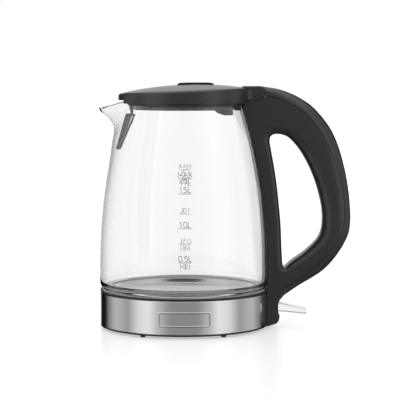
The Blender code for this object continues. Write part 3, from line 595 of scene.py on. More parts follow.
LOOKS = {
    "satin": plastic("satin_plastic", (0.017, 0.0175, 0.019), (0.021, 0.0215, 0.023), 0.32),
    "lid": plastic("lid_plastic", (0.018, 0.0185, 0.020), (0.022, 0.0225, 0.024), 0.31),
    "gloss": plastic("gloss_plastic", (0.010, 0.010, 0.011), (0.014, 0.014, 0.015), 0.14, 0.2),
    "matt": plastic("matt_plastic", (0.012, 0.012, 0.013), (0.018, 0.018, 0.019), 0.5),
    "nylon": plastic("natural_nylon", (0.70, 0.69, 0.64), (0.76, 0.75, 0.70), 0.5),
    "rubber": plastic("foot_rubber", (0.016, 0.016, 0.016), (0.024, 0.024, 0.024), 0.8, 2.0),
    "silicone": plastic("silicone_rubber", (0.68, 0.70, 0.70), (0.74, 0.76, 0.76), 0.55),
    "ink": plastic("printed_ink", (0.010, 0.010, 0.011), (0.016, 0.016, 0.017), 0.6),
    "pale_ink": plastic("printed_ink_back", (0.28, 0.285, 0.29), (0.33, 0.335, 0.34), 0.6),
    "band": brushed_band(),
    "plate": plate_steel(),
    "wire": metal("wire_steel", (0.55, 0.54, 0.52), (0.65, 0.64, 0.62), 0.3, (400.0, 400.0, 400.0)),
    "screw": metal("screw_steel", (0.56, 0.55, 0.53), (0.66, 0.65, 0.62), 0.28, (300.0, 300.0, 300.0)),
    "aluminium": metal("cast_aluminium", (0.70, 0.71, 0.72), (0.80, 0.81, 0.82), 0.42),
    "brass": metal("contact_brass", (0.72, 0.52, 0.22), (0.82, 0.62, 0.30), 0.28),
    "glass": clear("jug_glass_clear", (0.897, 0.905, 0.909), 0.0, 1.5),
    "acrylic": clear("clear_acrylic", (0.80, 0.81, 0.83), 0.12, 1.49),
}

# what the CAD nodes are made of, apart from the rubber feet and the steel pin and screws
FINISH = {
    "aluminium": ("heat_spreader", "heating_element"),
    "nylon": ("control_housing", "switch_housing"),
    "brass": ("connector_pin", "connector_ring"),
    "wire": ("toggle_spring", "steam_disc", "snap_disc_1", "snap_disc_2", "button_spring", "hinge_spring",
             "filter_mesh_1", "filter_mesh_2"),
    "acrylic": ("indicator_led", "switch_lever"),
    "silicone": ("hotplate_seal", "lead_wire_1", "lead_wire_2", "steam_tube"),
    "matt": ("switch_rocker", "filter_frame", "rim_bracket", "base_ring", "base_cover"),
    "gloss": ("lid_latch", "lid_button", "lid_inner"),
    "satin": ("handle_body", "handle_cover"),
    "glass": ("glass_jug",), "band": ("steel_band",), "plate": ("hotplate",), "lid": ("lid_cap",),
}
look_of = {node_name: look for look, members in FINISH.items() for node_name in members}
for node_name, node in frame["nodes"].items():
    finish = look_of.get(node_name) or ("rubber" if node_name.startswith("rubber_foot") else "screw")
    node.data.materials.clear()
    node.data.materials.append(LOOKS[finish])


# --- glass jug ---


def spout_shape(angle):
    """How far a direction takes part in the spout, and how much the rim is lifted there."""
    off = abs(math.degrees(angle) - 180)
    share = math.exp(-((off / 11) ** 1.5))
    lift = 2.6 * math.exp(-(((off - 17) / 8) ** 2)) - 3.0 * math.exp(-((off / 8) ** 2))
    return share, lift


def jug_outline():
    """The wall's closed section at a plain side of the jug, as (radius, height)."""
    foot = [tuple(p) for p in smooth_path([(67.0, 36.3), (72.0, 36.4), (76.0, 37.8), (78.1, 41.0),
                                           (glass_radius(44.0), 44.0)], 5)][:-1]
    heights = [44.0 + (RIM_Z - 1.5 - 44.0) * k / 70 for k in range(71)]
    outer = [(glass_radius(z), z) for z in heights]
    middle = glass_radius(RIM_Z) - GLASS_WALL / 2
    rim = arc(middle, RIM_Z - 1.5, GLASS_WALL / 2, 0, 180, 12)
    inner = [(glass_radius(z) - GLASS_WALL, z) for z in reversed(heights[8:-1])]
    last = inner[-1]
    shoulder = [tuple(p) for p in smooth_path([last, (75.4, 46.0), (74.7, 42.6), (72.4, 40.2),
                                               (67.0, 39.3)], 5)][1:]
    return foot + outer[:-1] + rim + inner + shoulder


def glass_jug():
    spout_half, lift_from = 40, 188.0
    coarse = [k * 360 / 180 for k in range(180)]
    fine = [180 + k * 0.5 for k in range(-2 * spout_half, 2 * spout_half + 1)]
    angles = sorted(set(a for a in coarse if abs(a - 180) > spout_half) | set(fine))
    rings = []
    for radius, z in jug_outline():
        ring = []
        for angle in map(math.radians, angles):
            share, lift = spout_shape(angle)
            reach = interpolate(SPOUT_REACH_BY_Z, z) * share
            near_rim = min(max((z - lift_from) / (RIM_Z - lift_from), 0.0), 1.0) ** 2
            r = radius + reach
            ring.append((r * math.cos(angle), r * math.sin(angle), z + lift * near_rim))
        rings.append(ring)
    obj = shape("jug_wall", rings_solid(rings, closed=True))
    finish_piece(obj, LOOKS["glass"], "root", ["glass_jug"], sharp=70)


glass_jug()


# --- printed litre marks ---

# each character as strokes in a cell one unit high
STROKES = {
    "0": [[(0, 0.2), (0, 0.8), (0.15, 1), (0.45, 1), (0.6, 0.8), (0.6, 0.2), (0.45, 0), (0.15, 0),
           (0, 0.2)]],
    "1": [[(0.05, 0.76), (0.3, 1), (0.3, 0)]],
    "5": [[(0.55, 1), (0.08, 1), (0.04, 0.56), (0.3, 0.64), (0.52, 0.54), (0.6, 0.32), (0.5, 0.08),
           (0.28, 0), (0.02, 0.1)]],
    "7": [[(0, 1), (0.58, 1), (0.22, 0)]],
    ".": [[(0.03, 0), (0.03, 0.1)]],
    "L": [[(0, 1), (0, 0), (0.46, 0)]],
    "M": [[(0, 0), (0, 1), (0.36, 0.3), (0.72, 1), (0.72, 0)]],
    "I": [[(0, 0), (0, 1)]],
    "N": [[(0, 0), (0, 1), (0.58, 0), (0.58, 1)]],
    "A": [[(0, 0), (0.36, 1), (0.72, 0)], [(0.13, 0.34), (0.59, 0.34)]],
    "X": [[(0, 0), (0.64, 1)], [(0, 1), (0.64, 0)]],
}
LETTER_GAP = 0.24
TEXT_HEIGHT = 4.7
STROKE = 0.46
MARKS = ((68.4, "0.5L", "MIN"), (98.5, "1.0L", None), (129.0, "1.5L", None), (142.3, "MAX", "1.7L"))


def lettering(text, centre, base):
    """The strokes of a word, in millimetres across and up."""
    strokes = []
    pen = 0.0
    for character in text:
        cell = STROKES[character]
        strokes += [[(pen + x, y) for x, y in stroke] for stroke in cell]
        pen += max(x for stroke in cell for x, _ in stroke) + LETTER_GAP
    width = pen - LETTER_GAP
    return [[(centre + (x - width / 2) * TEXT_HEIGHT, base + y * TEXT_HEIGHT) for x, y in stroke]
            for stroke in strokes]


def ink_line(path, width, side):
    """A printed line on the glass, on the front (side -1) or the back (side 1)."""
    path = [Vector(p) for p in path]
    edges = []
    for i, point in enumerate(path):
        runs = [(path[k + 1] - path[k]).normalized() for k in (i - 1, i) if 0 <= k < len(path) - 1]
        normals = [Vector((-run.y, run.x)) for run in runs]
        across = sum(normals, Vector((0, 0))).normalized()
        reach = width / 2 / max(across.dot(normals[0]), 0.5)
        edges.append((point + across * reach, point - across * reach))

    def on_glass(place, out):
        radius = glass_radius(place.y) + out
        turn = place.x / radius
        return (-side * radius * math.sin(turn), side * radius * math.cos(turn), place.y)

    low, high = 0.02, 0.1
    rings = [[on_glass(left, low), on_glass(right, low), on_glass(right, high), on_glass(left, high)]
             for left, right in edges]
    return rings_solid(rings, closed=False)


def gathered(solids):
    """Several solids in one mesh."""
    whole = bmesh.new()
    for solid in solids:
        mesh = bpy.data.meshes.new("part")
        solid.to_mesh(mesh)
        solid.free()
        whole.from_mesh(mesh)
        bpy.data.meshes.remove(mesh)
    return whole


def litre_marks():
    sides = (("litre_marks_front", -1, 1.9, "ink"), ("litre_marks_back", 1, 0.3, "pale_ink"))
    half_line, off_line = 5.9, 1.1
    for name, side, centre, look in sides:
        lines = []
        for z, above, below in MARKS:
            level = [(centre - half_line + 2 * half_line * k / 8, z) for k in range(9)]
            lines.append(ink_line(level, 0.45, side))
            strokes = lettering(above, centre, z + off_line)
            if below:
                strokes += lettering(below, centre, z - off_line - TEXT_HEIGHT)
            lines += [ink_line(stroke, STROKE, side) for stroke in strokes]
        finish_piece(shape(name, gathered(lines)), LOOKS[look], "root", flat=True)


litre_marks()


# --- strainer behind the spout ---


def strainer_cloth():
    """The woven steel in the two panels of the filter."""
    top_left, foot_left = Vector((-50.4, -16.6, 197.0)), Vector((-60.6, -8.0, 166.5))
    rib_top, rib_foot = Vector((-45.9, 0.0, 196.6)), Vector((-58.6, 0.0, 167.5))
    wire, pitch, weave = 0.045, 1.8, 0.05
    for number, side in enumerate((1, -1), start=1):
        def at(u, v, lift=0.0):
            upper, lower = top_left.lerp(rib_top, u), foot_left.lerp(rib_foot, u)
            place = upper.lerp(lower, v)
            return Vector((place.x + lift, place.y * side, place.z))

        solids = []
        down = int((top_left - foot_left).length / pitch)
        over = int((top_left - rib_top).length / pitch)
        low, high = 0.1, 0.9
        first, span = 0.06, 0.88
        for k in range(down + 1):
            v = first + span * k / down
            path = [at(low + (high - low) * i / over, v, weave * (-1) ** (i + k)) for i in range(over + 1)]
            solids.append(swept(path, wire, 4))
        for i in range(over + 1):
            u = low + (high - low) * i / over
            path = [at(u, first + span * k / down, -weave * (-1) ** (i + k)) for k in range(down + 1)]
            solids.append(swept(path, wire, 4))
        finish_piece(shape(f"strainer_cloth_{number}", gathered(solids)), LOOKS["wire"], "root",
                     [f"filter_mesh_{number}"])


strainer_cloth()


# --- base ---


def foot_places():
    """The four feet: six even places less the two on the X axis."""
    return [centre for centre in around(6, FOOT_CIRCLE_R, 60) if abs(centre[1]) > 1]


def foot_screw_holes():
    return [("-", rod(FOOT_SCREW_R + GAP, (68.0, y, FOOT_SCREW_Z), (84.6, y, FOOT_SCREW_Z)))
            for y in FOOT_SCREW_Y]


def base_ring():
    outline = eased([(66.3, 33.2), (73.9, 33.2), (73.9, 16.0), (75.9, 16.0), (75.9, 34.3), (BAND_R, 34.3),
                     (BAND_R, RING_TOP), (76.2, RING_TOP), (76.2, 35.2), (66.3, 35.2)], 0.35)
    changes = []
    for centre in around(3, SCREW_CIRCLE_R, 90):
        changes += [("+", disc(4.0, 9.6, 35.0, SMALL, centre)), ("-", disc(1.8, 5.0, 18.0, SMALL, centre))]
    switch_room = block((60.0, -11.0, 12.0), (77.0, 11.0, 31.5))
    changes.append(("-", switch_room))
    obj = shape("seat_ring", turned(outline), *changes, *foot_screw_holes())
    finish_piece(obj, LOOKS["matt"], "root", ["base_ring"])


def frame_height(across, up):
    """The plain raised frame pressed into the band at the front: how far it stands out, in millimetres."""
    half_x, half_z, corner, width = 23.6, 6.6, 2.6, 1.1
    dx, dz = abs(across) - (half_x - corner), abs(up) - (half_z - corner)
    outside = math.hypot(max(dx, 0), max(dz, 0)) + min(max(dx, dz), 0) - corner
    line = max(0.0, 1 - abs(outside + width / 2) / (width / 2 + 0.35))
    return 0.42 * (line * line * (3 - 2 * line))


def steel_band():
    inner = BAND_R - BAND_THICKNESS
    badge_z = 17.6
    badge_turn = 1.3  # how far the frame's middle is towards the handle
    badge_reach = 25.5  # the finely divided part, either way from the front
    turns = [2 * math.pi * k / 200 for k in range(200)]
    fine_half = badge_reach / BAND_R
    front = -math.pi / 2 % (2 * math.pi)
    turns = [a for a in turns if abs(a - front) > fine_half]
    count = 180
    turns = sorted(turns + [front - fine_half + 2 * fine_half * k / count for k in range(count + 1)])
    rows = [BAND_BOTTOM + 0.5, *(badge_z - 7.5 + 15.0 * k / 56 for k in range(57)), BAND_TOP - 0.9]
    outline = [(inner, BAND_BOTTOM), (BAND_R - 0.25, BAND_BOTTOM), (BAND_R - 0.06, BAND_BOTTOM + 0.12),
               (BAND_R, BAND_BOTTOM + 0.3)]
    outline += [(BAND_R, z) for z in rows]
    fold = 0.7
    outline += arc(BAND_R - fold, BAND_TOP - fold, fold, 0, 90, 6)
    outline += [(inner - 0.6, BAND_TOP), (inner - 0.6, BAND_TOP - fold), (inner, BAND_TOP - fold)]
    rings = []
    for radius, z in outline:
        ring = []
        for a in turns:
            across = (a - front) * BAND_R
            raised = radius == BAND_R and abs(across) < badge_reach
            out = frame_height(across - badge_turn, z - badge_z) if raised else 0.0
            ring.append(((radius + out) * math.cos(a), (radius + out) * math.sin(a), z))
        rings.append(ring)
    switch_window = block((60.0, -11.0, 6.0), (80.0, 11.0, 31.5))
    obj = shape("band_sheet", rings_solid(rings, closed=True), ("-", switch_window), *foot_screw_holes())
    finish_piece(obj, LOOKS["band"], "root", ["steel_band"])


def base_cover():
    collar = HOUSING_R + 0.6
    outline = eased([(collar, FLOOR_Z), (77.4, FLOOR_Z), (77.8, 2.7), (77.8, 3.5), (76.4, 3.5),
                     (76.4, 14.0), (74.8, 14.0), (74.8, 4.3), (collar + 1.6, 4.3), (collar + 1.6, 12.0),
                     (collar, 12.0)], 0.3)
    changes = []
    for centre in around(3, SCREW_CIRCLE_R, 90):
        changes += [("+", disc(4.0, 3.0, 9.3, SMALL, centre)), ("-", disc(3.2, 1.0, 6.3, SMALL, centre)),
                    ("-", disc(1.8, 5.0, 12.0, SMALL, centre))]
    changes += [("-", disc(1.9, 1.0, 6.0, SMALL, centre)) for centre in foot_places()]
    switch_room = block((70.0, -11.0, 6.0), (80.0, 11.0, 20.0))
    changes.append(("-", switch_room))
    # shallow grooves moulded into the underside round the connector
    for near in (30.0, 44.0, 58.0):
        far = near + 1.6
        changes.append(("-", turned([(near, 2.0), (far, 2.0), (far, 2.8), (near, 2.8)])))
    obj = shape("underside_dish", turned(outline), *changes)
    finish_piece(obj, LOOKS["matt"], "root", ["base_cover"])


def rubber_feet():
    outline = eased([(0, 0), (1.8, 0), (2.4, 0.5), (2.6, FLOOR_Z - GAP), (1.6, FLOOR_Z - GAP), (1.6, 6.4),
                     (0, 6.4)], 0.25, closed=False)
    for number, centre in enumerate(foot_places(), start=1):
        obj = shape(f"foot_stud_{number}", turned(outline, 32, centre))
        finish_piece(obj, LOOKS["rubber"], "root", [f"rubber_foot_{number}"])


def hotplate():
    path = smooth_path([(50.0, PLATE_FLOOR_Z), (56.5, PLATE_FLOOR_Z + 0.5), (58.5, PLATE_FLOOR_Z + 1.5),
                        (61.0, PLATE_RIM_Z - 0.6), (62.2, PLATE_RIM_Z), (PLATE_RIM_R, PLATE_RIM_Z)], 5)
    top = [(0, PLATE_FLOOR_Z)] + [tuple(p) for p in path]
    below = [(r + 0.3, z - PLATE_SHEET) for r, z in reversed(top[1:-1])]
    outline = top + [(PLATE_RIM_R, PLATE_RIM_Z - PLATE_SHEET)] + below + [(0, PLATE_FLOOR_Z - PLATE_SHEET)]
    obj = shape("hotplate_dish", turned(outline))
    finish_piece(obj, LOOKS["plate"], "root", ["hotplate"])
    seal = eased([(65.7, 35.5), (75.8, 35.5), (75.8, 36.0), (66.7, 36.0), (66.7, 39.4), (66.2, 39.9),
                  (65.7, 39.4)], 0.15)
    obj = shape("plate_seal", turned(seal))
    finish_piece(obj, LOOKS["silicone"], "root", ["hotplate_seal"])


base_ring()
steel_band()
base_cover()
rubber_feet()
hotplate()


# --- handle ---


def handle_outline():
    """The handle's outside seen from the side, as (x, z, edge radius)."""
    back = [(66.0, 223.9, 0.5), (72.0, 223.2, 5.0), (88.7, 220.3, 9.0), (105.4, 213.5, 12.0),
            (122.0, 201.2, 13.5), (138.7, 177.6, 14.0), (149.8, 141.0, 14.0), (HANDLE_REACH, 101.4, 13.5),
            (148.7, 79.3, 12.0), (130.7, 55.2, 11.5), (105.0, 38.6, 10.0), (92.0, 30.6, 3.5)]
    foot = [(89.0, 27.0, 2.0), (88.4, 12.0, 1.5), (87.6, 7.4, 1.2), (85.5, 4.9, 1.2), (83.0, 4.0, 1.0),
            (76.0, 2.0, 0.5), (60.0, 1.6, 0.5)]
    floor = HINGE_Z - SEAT_R
    jug_side = [(44.0, 100.0, 0.5), (44.0, 203.0, 0.5), (54.6, 205.0, 0.5), (54.6, BRIDGE_Z[1], 0.5),
                (57.2, BRIDGE_Z[1], 0.5), (57.2, floor, 0.5), (HINGE_X - 2.0, floor, 0.5)]
    return [tuple(p) for p in smooth_path(back, 10)] + foot + jug_side


def loop_outline():
    """The opening for the fingers."""
    points = [(92.0, 56.2, 5.0), (90.1, 71.7, 5.0), (88.8, 99.4, 5.0), (84.9, 136.4, 5.0),
              (80.4, 163.0, 5.0), (78.7, 173.6, 6.0), (80.8, 178.4, 7.0), (87.5, 179.4, 8.0),
              (97.0, 175.6, 9.0), (108.5, 162.0, 10.0), (120.0, 138.6, 10.0), (127.4, 110.0, 10.0),
              (126.0, 87.5, 10.0), (114.5, 73.2, 9.0), (100.0, 62.2, 7.5)]
    return [tuple(p) for p in smooth_path(points, 8, closed=True)]


def seam_curve(inset=0.0):
    """The seam between the handle's body and its cover, moved towards the body by about `inset`."""
    seam = [(70.0, 214.2), (80.0, 213.9), (94.9, 209.1), (115.0, 195.1), (133.1, 168.0), (145.1, 131.8),
            (147.7, 101.4), (138.8, 76.3), (112.7, 50.2), (89.2, 36.2)]
    shifted = [(x - inset * 0.8, z - inset if k < 5 else z + inset * 0.8) for k, (x, z) in enumerate(seam)]
    return [tuple(p) for p in smooth_path(shifted, 12)]


def parting_region(inset=0.0):
    """Everything behind the seam."""
    return seam_curve(inset) + [(89.2 - inset * 0.8, 20.0), (190.0, 20.0), (190.0, 260.0), (70.0, 260.0)]


def seam_strip(inner, outer, half_width):
    """A strip along the seam, short of its ends, for the tongue on the body and its groove in the cover."""
    ends = slice(8, -16)
    return slab(seam_curve(inner)[ends] + seam_curve(outer)[ends][::-1], -half_width, half_width)


def jug_envelope():
    """The jug and base as the handle meets them, larger all round by a gap."""
    heights = [37.0 + (RIM_Z - 37.0) * k / 40 for k in range(41)]
    side = [(glass_radius(z) + GAP, z) for z in heights]
    base = [(0, -5.0), (BAND_R + GAP, -5.0), (BAND_R + GAP, 36.5)]
    return turned(base + side + [(side[-1][0], RIM_Z + GAP), (0, RIM_Z + GAP)], 240)


def tube_path(steps=4):
    heights = [203.0, 190.0, 170.0, 150.0, 125.0, 100.0, 75.0, 50.0, 34.0]
    return smooth_path([(glass_radius(max(z, 44.0)) + GAP + 3.4, 0.0, z) for z in heights], steps)


def tube_channel():
    path = tube_path(1)
    behind = [(p.x + 3.2, p.z) for p in path]
    front = [(p.x - 12.0, p.z) for p in reversed(path)]
    top = [(front[-1][0], 206.0), (behind[0][0], 206.0)]
    return slab(top + behind + [(behind[-1][0], 28.0), (front[0][0], 28.0)] + front, -3.2, 3.2)


def hinge_rod(radius, half, segments=64):
    return rod(radius, (HINGE_X, -half, HINGE_Z), (HINGE_X, half, HINGE_Z), segments)


def handle():
    wide = HANDLE_HALF + 5
    cover = shape("handle_spine", pillow([handle_outline(), loop_outline()], HANDLE_HALF),
                  ("&", slab(parting_region(), -wide, wide)), ("-", hinge_rod(SEAT_R, wide)),
                  ("-", seam_strip(0.8, -1.4, TONGUE_HALF + GAP)))
    finish_piece(cover, LOOKS["satin"], "root", ["handle_cover"])

    stem = [(HINGE_X - 2.4, 208.6), (HINGE_X + 3.0, 208.6)] + arc(HINGE_X, HINGE_Z, LUG_R, -50, 230, 30)
    bridge_room = block((50.0, -BRACKET_HALF - GAP, BRIDGE_Z[0] - GAP),
                        (BRIDGE_X + GAP, BRACKET_HALF + GAP, 212.0))
    switch_room = block((70.0, -9.5, 8.0), (84.0, 9.5, 30.0))
    paddle_slot = block((80.0, -8.0, 12.2), (95.0, 8.0, 25.4))
    paddle_recess = [(96.0, 30.0), (90.4, 29.2), (87.0, 24.6), (86.7, 14.2), (88.8, 11.6), (96.0, 11.6)]
    rocker_bore = rod(1.5, (SWITCH_X, -10.9, SWITCH_Z), (SWITCH_X, 10.9, SWITCH_Z))
    changes = [("-", slab(parting_region(0.4), -wide, wide)), ("-", hinge_rod(SEAT_R, wide)),
               ("-", jug_envelope()), ("-", tube_channel()), ("+", seam_strip(1.8, -1.0, TONGUE_HALF)),
               ("-", bridge_room), ("-", switch_room), ("-", paddle_slot),
               ("-", slab(paddle_recess, -wide, wide)), ("-", rocker_bore),
               ("+", slab(stem, -6.5, -4.0)), ("+", slab(stem, 4.0, 6.5)),
               ("-", hinge_rod(PIN_R + 0.2, wide, 24))]
    changes += foot_screw_holes()
    changes += [("-", disc(1.8, 196.0, 212.0, 20, (BRACKET_SCREW_X, y))) for y in BRACKET_SCREW_Y]
    body = shape("handle_grip", pillow([handle_outline(), loop_outline()], HANDLE_HALF), *changes)
    finish_piece(body, LOOKS["satin"], "root", ["handle_body"])

    tube = shape("steam_hose", hose(tube_path(), 2.5, 1.7))
    finish_piece(tube, LOOKS["silicone"], "root", ["steam_tube"])


handle()


# --- switch paddle ---


def paddle():
    points = [(84.0, 14.6), (94.0, 13.8), (112.6, 11.9), (113.5, 13.0), (113.5, 16.2), (112.2, 17.2),
              (96.0, 20.4), (84.0, 23.4)]
    outline = eased([(x, z + 0.4) for x, z in points], 1.2, 4)
    obj = shape("switch_paddle", pillow([[(x, z, 0.8) for x, z in outline]], PADDLE_HALF, 5))
    finish_piece(obj, LOOKS["acrylic"], "switch", ["switch_lever"], sharp=50)


paddle()


# --- lid ---


def lid_top(x, radius):
    return LID_EDGE_Z + LID_SLOPE * x + LID_CROWN * (1 - (radius / LID_R) ** 2)


def lid_shell():
    """The lid's skirt and crowned top, hollow from below."""
    skirt = [(LID_R - 0.35, LID_SKIRT_Z), (LID_R, LID_SKIRT_Z + 0.35)]
    edge = [tuple(p) for p in smooth_path([(LID_R, LID_EDGE_Z - 2.4), (LID_R - 0.35, LID_EDGE_Z - 0.9),
                                           (LID_R - 1.6, LID_EDGE_Z + 0.3)], 5)]
    crown = [(r, LID_EDGE_Z + LID_CROWN * (1 - (r / LID_R) ** 2))
             for r in [56.0 - 4.0 * k for k in range(14)] + [0]]
    below = [(r, z - LID_WALL) for r, z in reversed(crown[1:])]
    inner = [(LID_R - LID_WALL - 1.5, LID_EDGE_Z - 0.7), (LID_R - LID_WALL, LID_EDGE_Z - 2.6),
             (LID_R - LID_WALL, LID_SKIRT_Z)]
    bm = turned(below + inner + skirt + edge + crown, 200)
    for vertex in bm.verts:
        share = min(max((vertex.co.z - LID_SKIRT_Z) / (LID_EDGE_Z - LID_SKIRT_Z), 0.0), 1.0)
        vertex.co.z += LID_SLOPE * vertex.co.x * share
    return bm


def shoulder(side):
    """The hollow corner that leads the round lid into the straight side of the knuckle."""
    fillet = 8.0
    sunk = 0.2
    centre_y = HINGE_HALF - sunk + fillet
    centre_x = math.sqrt((LID_R - sunk + fillet) ** 2 - centre_y ** 2)
    start = math.degrees(math.atan2(-centre_y, -centre_x)) + 360
    plan = arc(centre_x, centre_y, fillet, start, 270, 16)
    plan += [(centre_x, HINGE_HALF - 4.0), (53.4, HINGE_HALF - 4.0), (53.4, 24.3)]
    rings = [[(x, y * side, z) for x, y in plan] for z in (LID_NOTCH_Z + 0.9, LID_EDGE_Z + 1.6)]
    return rings_solid(rings, closed=False)


def knuckle_outline():
    arc_points = arc(HINGE_X, HINGE_Z, KNUCKLE_R, 56, -90, 36)
    return [(52.2, LID_NOTCH_Z), (52.2, 222.0), (54.6, 223.5)] + arc_points


def lid():
    knuckle = [(x, z, 1.6 if z > 221 else 0.8) for x, z in knuckle_outline()]
    x0, x1 = BUTTON_X
    notch = [(40.0, 200.0), (62.0, 200.0), (62.0, LID_NOTCH_Z - 0.1), (56.9, LID_NOTCH_Z - 0.1),
             (56.9, BRIDGE_Z[1] + GAP), (40.0, BRIDGE_Z[1] + GAP)]
    lugs_half = 7.0
    filter_notch = block((-70.0, -27.0, 200.0), (-54.4, 27.0, LID_NOTCH_Z))
    stem_room = [(HINGE_X - 4.2, 200.0), (90.0, 200.0), (90.0, HINGE_Z + 4.2),
                 (HINGE_X, HINGE_Z + 4.2), (HINGE_X - 4.2, HINGE_Z)]
    opening = [(x0 - 0.4, 216.0), (x1 + 0.4, 216.0), (x1 + 0.4, 230.0), (x0 - 0.4, 230.0)]
    changes = [("+", pillow([knuckle], HINGE_HALF, 5)), ("+", shoulder(1)), ("+", shoulder(-1)),
               ("-", slab(notch, -HINGE_HALF - 0.9, HINGE_HALF + 0.9)), ("-", filter_notch),
               ("-", hinge_rod(LUG_R + 0.5, lugs_half, 48)), ("-", slab(stem_room, -lugs_half, lugs_half)),
               ("-", hinge_rod(PIN_R + GAP, PIN_HALF + GAP, 24)),
               ("-", slab(opening, -BUTTON_HALF - 0.4, BUTTON_HALF + 0.4))]
    for centre in LID_SCREWS:
        changes += [("+", disc(3.2, PLUG_PLATE_TOP + GAP, lid_top(centre[0], 32.0) - 1.2, SMALL, centre)),
                    ("-", disc(1.5, 200.0, 212.0, SMALL, centre))]
    cap = shape("lid_dome", lid_shell(), *changes)
    finish_piece(cap, LOOKS["lid"], "lid", ["lid_cap"])

    plug_wall = PLUG_R - 2.0
    flange = 57.9
    outline = eased([(0, PLUG_Z), (PLUG_R - 0.5, PLUG_Z), (PLUG_R, PLUG_Z + 0.5), (PLUG_R, 207.2),
                     (57.0, 207.2), (57.0, 205.8), (flange, 205.8), (flange, 208.8), (plug_wall, 208.8),
                     (plug_wall, PLUG_PLATE_TOP), (0, PLUG_PLATE_TOP)], 0.4, closed=False)
    handle_notch = block((45.6, -HINGE_HALF - 0.9, 200.0), (70.0, HINGE_HALF + 0.9, 212.0))
    filter_notch = block((-70.0, -29.0, 205.0), (-46.6, 29.0, 212.0))
    latch_slot = block((24.2, -LATCH_HALF - 0.8, 195.0), (50.0, LATCH_HALF + 0.8, 212.0))
    changes = [("-", handle_notch), ("-", filter_notch), ("-", latch_slot)]
    for centre in LID_SCREWS:
        changes += [("-", disc(3.0, 200.0, 202.8, SMALL, centre)),
                    ("-", disc(1.5, 202.0, 206.0, SMALL, centre))]
    plug = shape("lid_plug", turned(outline), *changes)
    finish_piece(plug, LOOKS["gloss"], "lid", ["lid_inner"])


def lid_button():
    x0, x1 = BUTTON_X
    top = smooth_path([(x0, BUTTON_TOP - 1.3), (x0 + 2.0, BUTTON_TOP - 0.4), (x0 + 9.0, BUTTON_TOP),
                       (x1 - 6.0, BUTTON_TOP), (x1 - 0.8, BUTTON_TOP - 0.6), (x1, BUTTON_TOP - 1.4)], 6)
    outline = [(x0, BUTTON_FLOOR)] + [tuple(p) for p in top] + [(x1, BUTTON_FLOOR)]
    leg = [(2.0, BUTTON_FLOOR + 0.5), (2.0, 216.0), (8.7, 209.3), (12.0, 209.3), (12.0, BUTTON_FLOOR + 0.5)]
    obj = shape("press_button", slab(outline, -BUTTON_HALF, BUTTON_HALF),
                ("+", block((x0 - 1.6, -BUTTON_HALF - 1.6, BUTTON_FLOOR - 0.2),
                            (x1 + 1.6, BUTTON_HALF + 1.6, BUTTON_FLOOR + 1.2))),
                ("+", slab(leg, -8.0, -4.8)), ("+", slab(leg, 4.8, 8.0)))
    finish_piece(obj, LOOKS["gloss"], "button", ["lid_button"], bevel=0.5)


def press_spring():
    """The spring under the button, as one fixed coil that is attached to no body."""
    obj = shape("press_spring", coil((SPRING_X, 0.0, SPRING_FOOT), 3.2, 0.45, SPRING_LENGTH, 6))
    finish_piece(obj, LOOKS["wire"], None, ["button_spring"])
    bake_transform(obj)


lid()
lid_button()
press_spring()


# --- stage ---


def stage():
    bm = bmesh.new()
    reach = 30.0
    corners = ((-1, -1), (1, -1), (1, 1), (-1, 1))
    bm.faces.new([bm.verts.new((x * reach, y * reach, 0.0)) for x, y in corners])
    mesh = bpy.data.meshes.new("floor")
    bm.to_mesh(mesh)
    bm.free()
    mesh.shade_smooth()
    floor = bpy.data.objects.new("floor", mesh)
    bpy.context.scene.collection.objects.link(floor)
    look = Look("studio_floor", Specular_IOR_Level=0.3)
    look.shader.inputs["Base Color"].default_value = (0.5, 0.5, 0.5, 1.0)
    look.shader.inputs["Emission Color"].default_value = (1.0, 1.0, 1.0, 1.0)
    look.shader.inputs["Emission Strength"].default_value = 0.5
    look.roughness(look.between(look.noise(3.0), 0.28, 0.34))
    mesh.materials.append(look.material)
    floor.visible_glossy = False


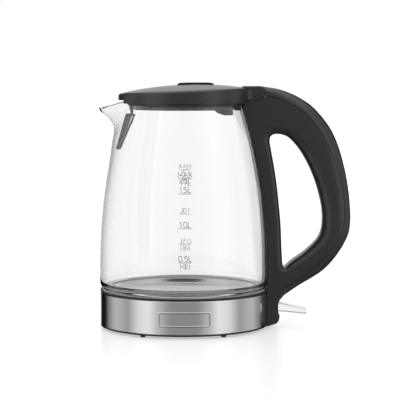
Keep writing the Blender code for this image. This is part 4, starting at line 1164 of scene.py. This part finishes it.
def world():
    made = bpy.data.worlds.new("studio")
    bpy.context.scene.world = made
    made.use_nodes = True
    tree = made.node_tree
    nodes, links = tree.nodes, tree.links
    nodes.clear()
    where = nodes.new("ShaderNodeTexCoord")
    split = nodes.new("ShaderNodeSeparateXYZ")
    links.new(where.outputs["Generated"], split.inputs[0])

    def maths(operation, a, b=None):
        return maths_output(tree, operation, a, b)

    x, y, z = split.outputs

    def risen(low, high, least=0.0):
        """How far a direction has risen between two heights."""
        node = nodes.new("ShaderNodeMapRange")
        node.interpolation_type = "SMOOTHSTEP"
        node.inputs["From Min"].default_value = low
        node.inputs["From Max"].default_value = high
        node.inputs["To Min"].default_value = least
        links.new(z, node.inputs["Value"])
        return node.outputs[0]

    # 0 straight towards the front, 1 straight to the back, either side alike
    turn = maths("DIVIDE", maths("ARCTAN2", maths("ABSOLUTE", x), maths("MULTIPLY", y, -1.0)), math.pi)
    ramp = nodes.new("ShaderNodeValToRGB")
    ramp.color_ramp.interpolation = "EASE"
    stops = [(0.0, 0.40), (0.10, 0.40), (0.20, 0.78), (0.27, 1.30), (0.35, 1.15), (0.42, 0.72),
             (0.455, 0.42), (0.50, 0.62), (0.60, 0.72), (0.66, 0.44), (0.71, 0.25), (0.74, 0.0),
             (0.88, 0.0), (0.92, 1.0), (1.0, 1.0)]
    elements = ramp.color_ramp.elements
    while len(elements) < len(stops):
        elements.new(0.5)
    brightest = 1.5
    for element, (place, value) in zip(elements, stops):
        element.position = place
        element.color = (value / brightest, value / brightest, value / brightest, 1.0)
    links.new(turn, ramp.inputs[0])
    # the surroundings are dimmer underneath, with a softbox overhead
    side = maths("MULTIPLY", maths("MULTIPLY", ramp.outputs[0], brightest), risen(-0.6, -0.15, 0.35))
    above = risen(0.6, 0.92)
    mixed = maths("ADD", maths("MULTIPLY", side, maths("SUBTRACT", 1.0, above)),
                  maths("MULTIPLY", above, 1.8))
    rays = nodes.new("ShaderNodeLightPath")
    # what is seen through the glass is paler and more even than what shines on it
    through = maths("MULTIPLY", rays.outputs["Is Transmission Ray"], 0.8)
    mixed = maths("ADD", maths("MULTIPLY", mixed, maths("SUBTRACT", 1.0, through)),
                  maths("MULTIPLY", through, 0.93))
    final = maths("ADD", maths("MULTIPLY", mixed, maths("SUBTRACT", 1.0, rays.outputs["Is Camera Ray"])),
                  rays.outputs["Is Camera Ray"])
    shine = nodes.new("ShaderNodeBackground")
    links.new(final, shine.inputs["Strength"])
    shine.inputs["Color"].default_value = (1.0, 1.0, 1.0, 1.0)
    out = nodes.new("ShaderNodeOutputWorld")
    links.new(shine.outputs[0], out.inputs[0])


def camera():
    data = bpy.data.cameras.new("camera")
    data.sensor_width = 36.0
    data.lens = 136.7
    obj = bpy.data.objects.new("camera", data)
    bpy.context.scene.collection.objects.link(obj)
    obj.location = (-0.0152, -1.461, 0.229)
    obj.rotation_euler = (math.radians(90 - 4.63), 0.0, 0.0)
    bpy.context.scene.camera = obj


stage()
world()
camera()
bpy.context.scene.view_settings.view_transform = "Standard"
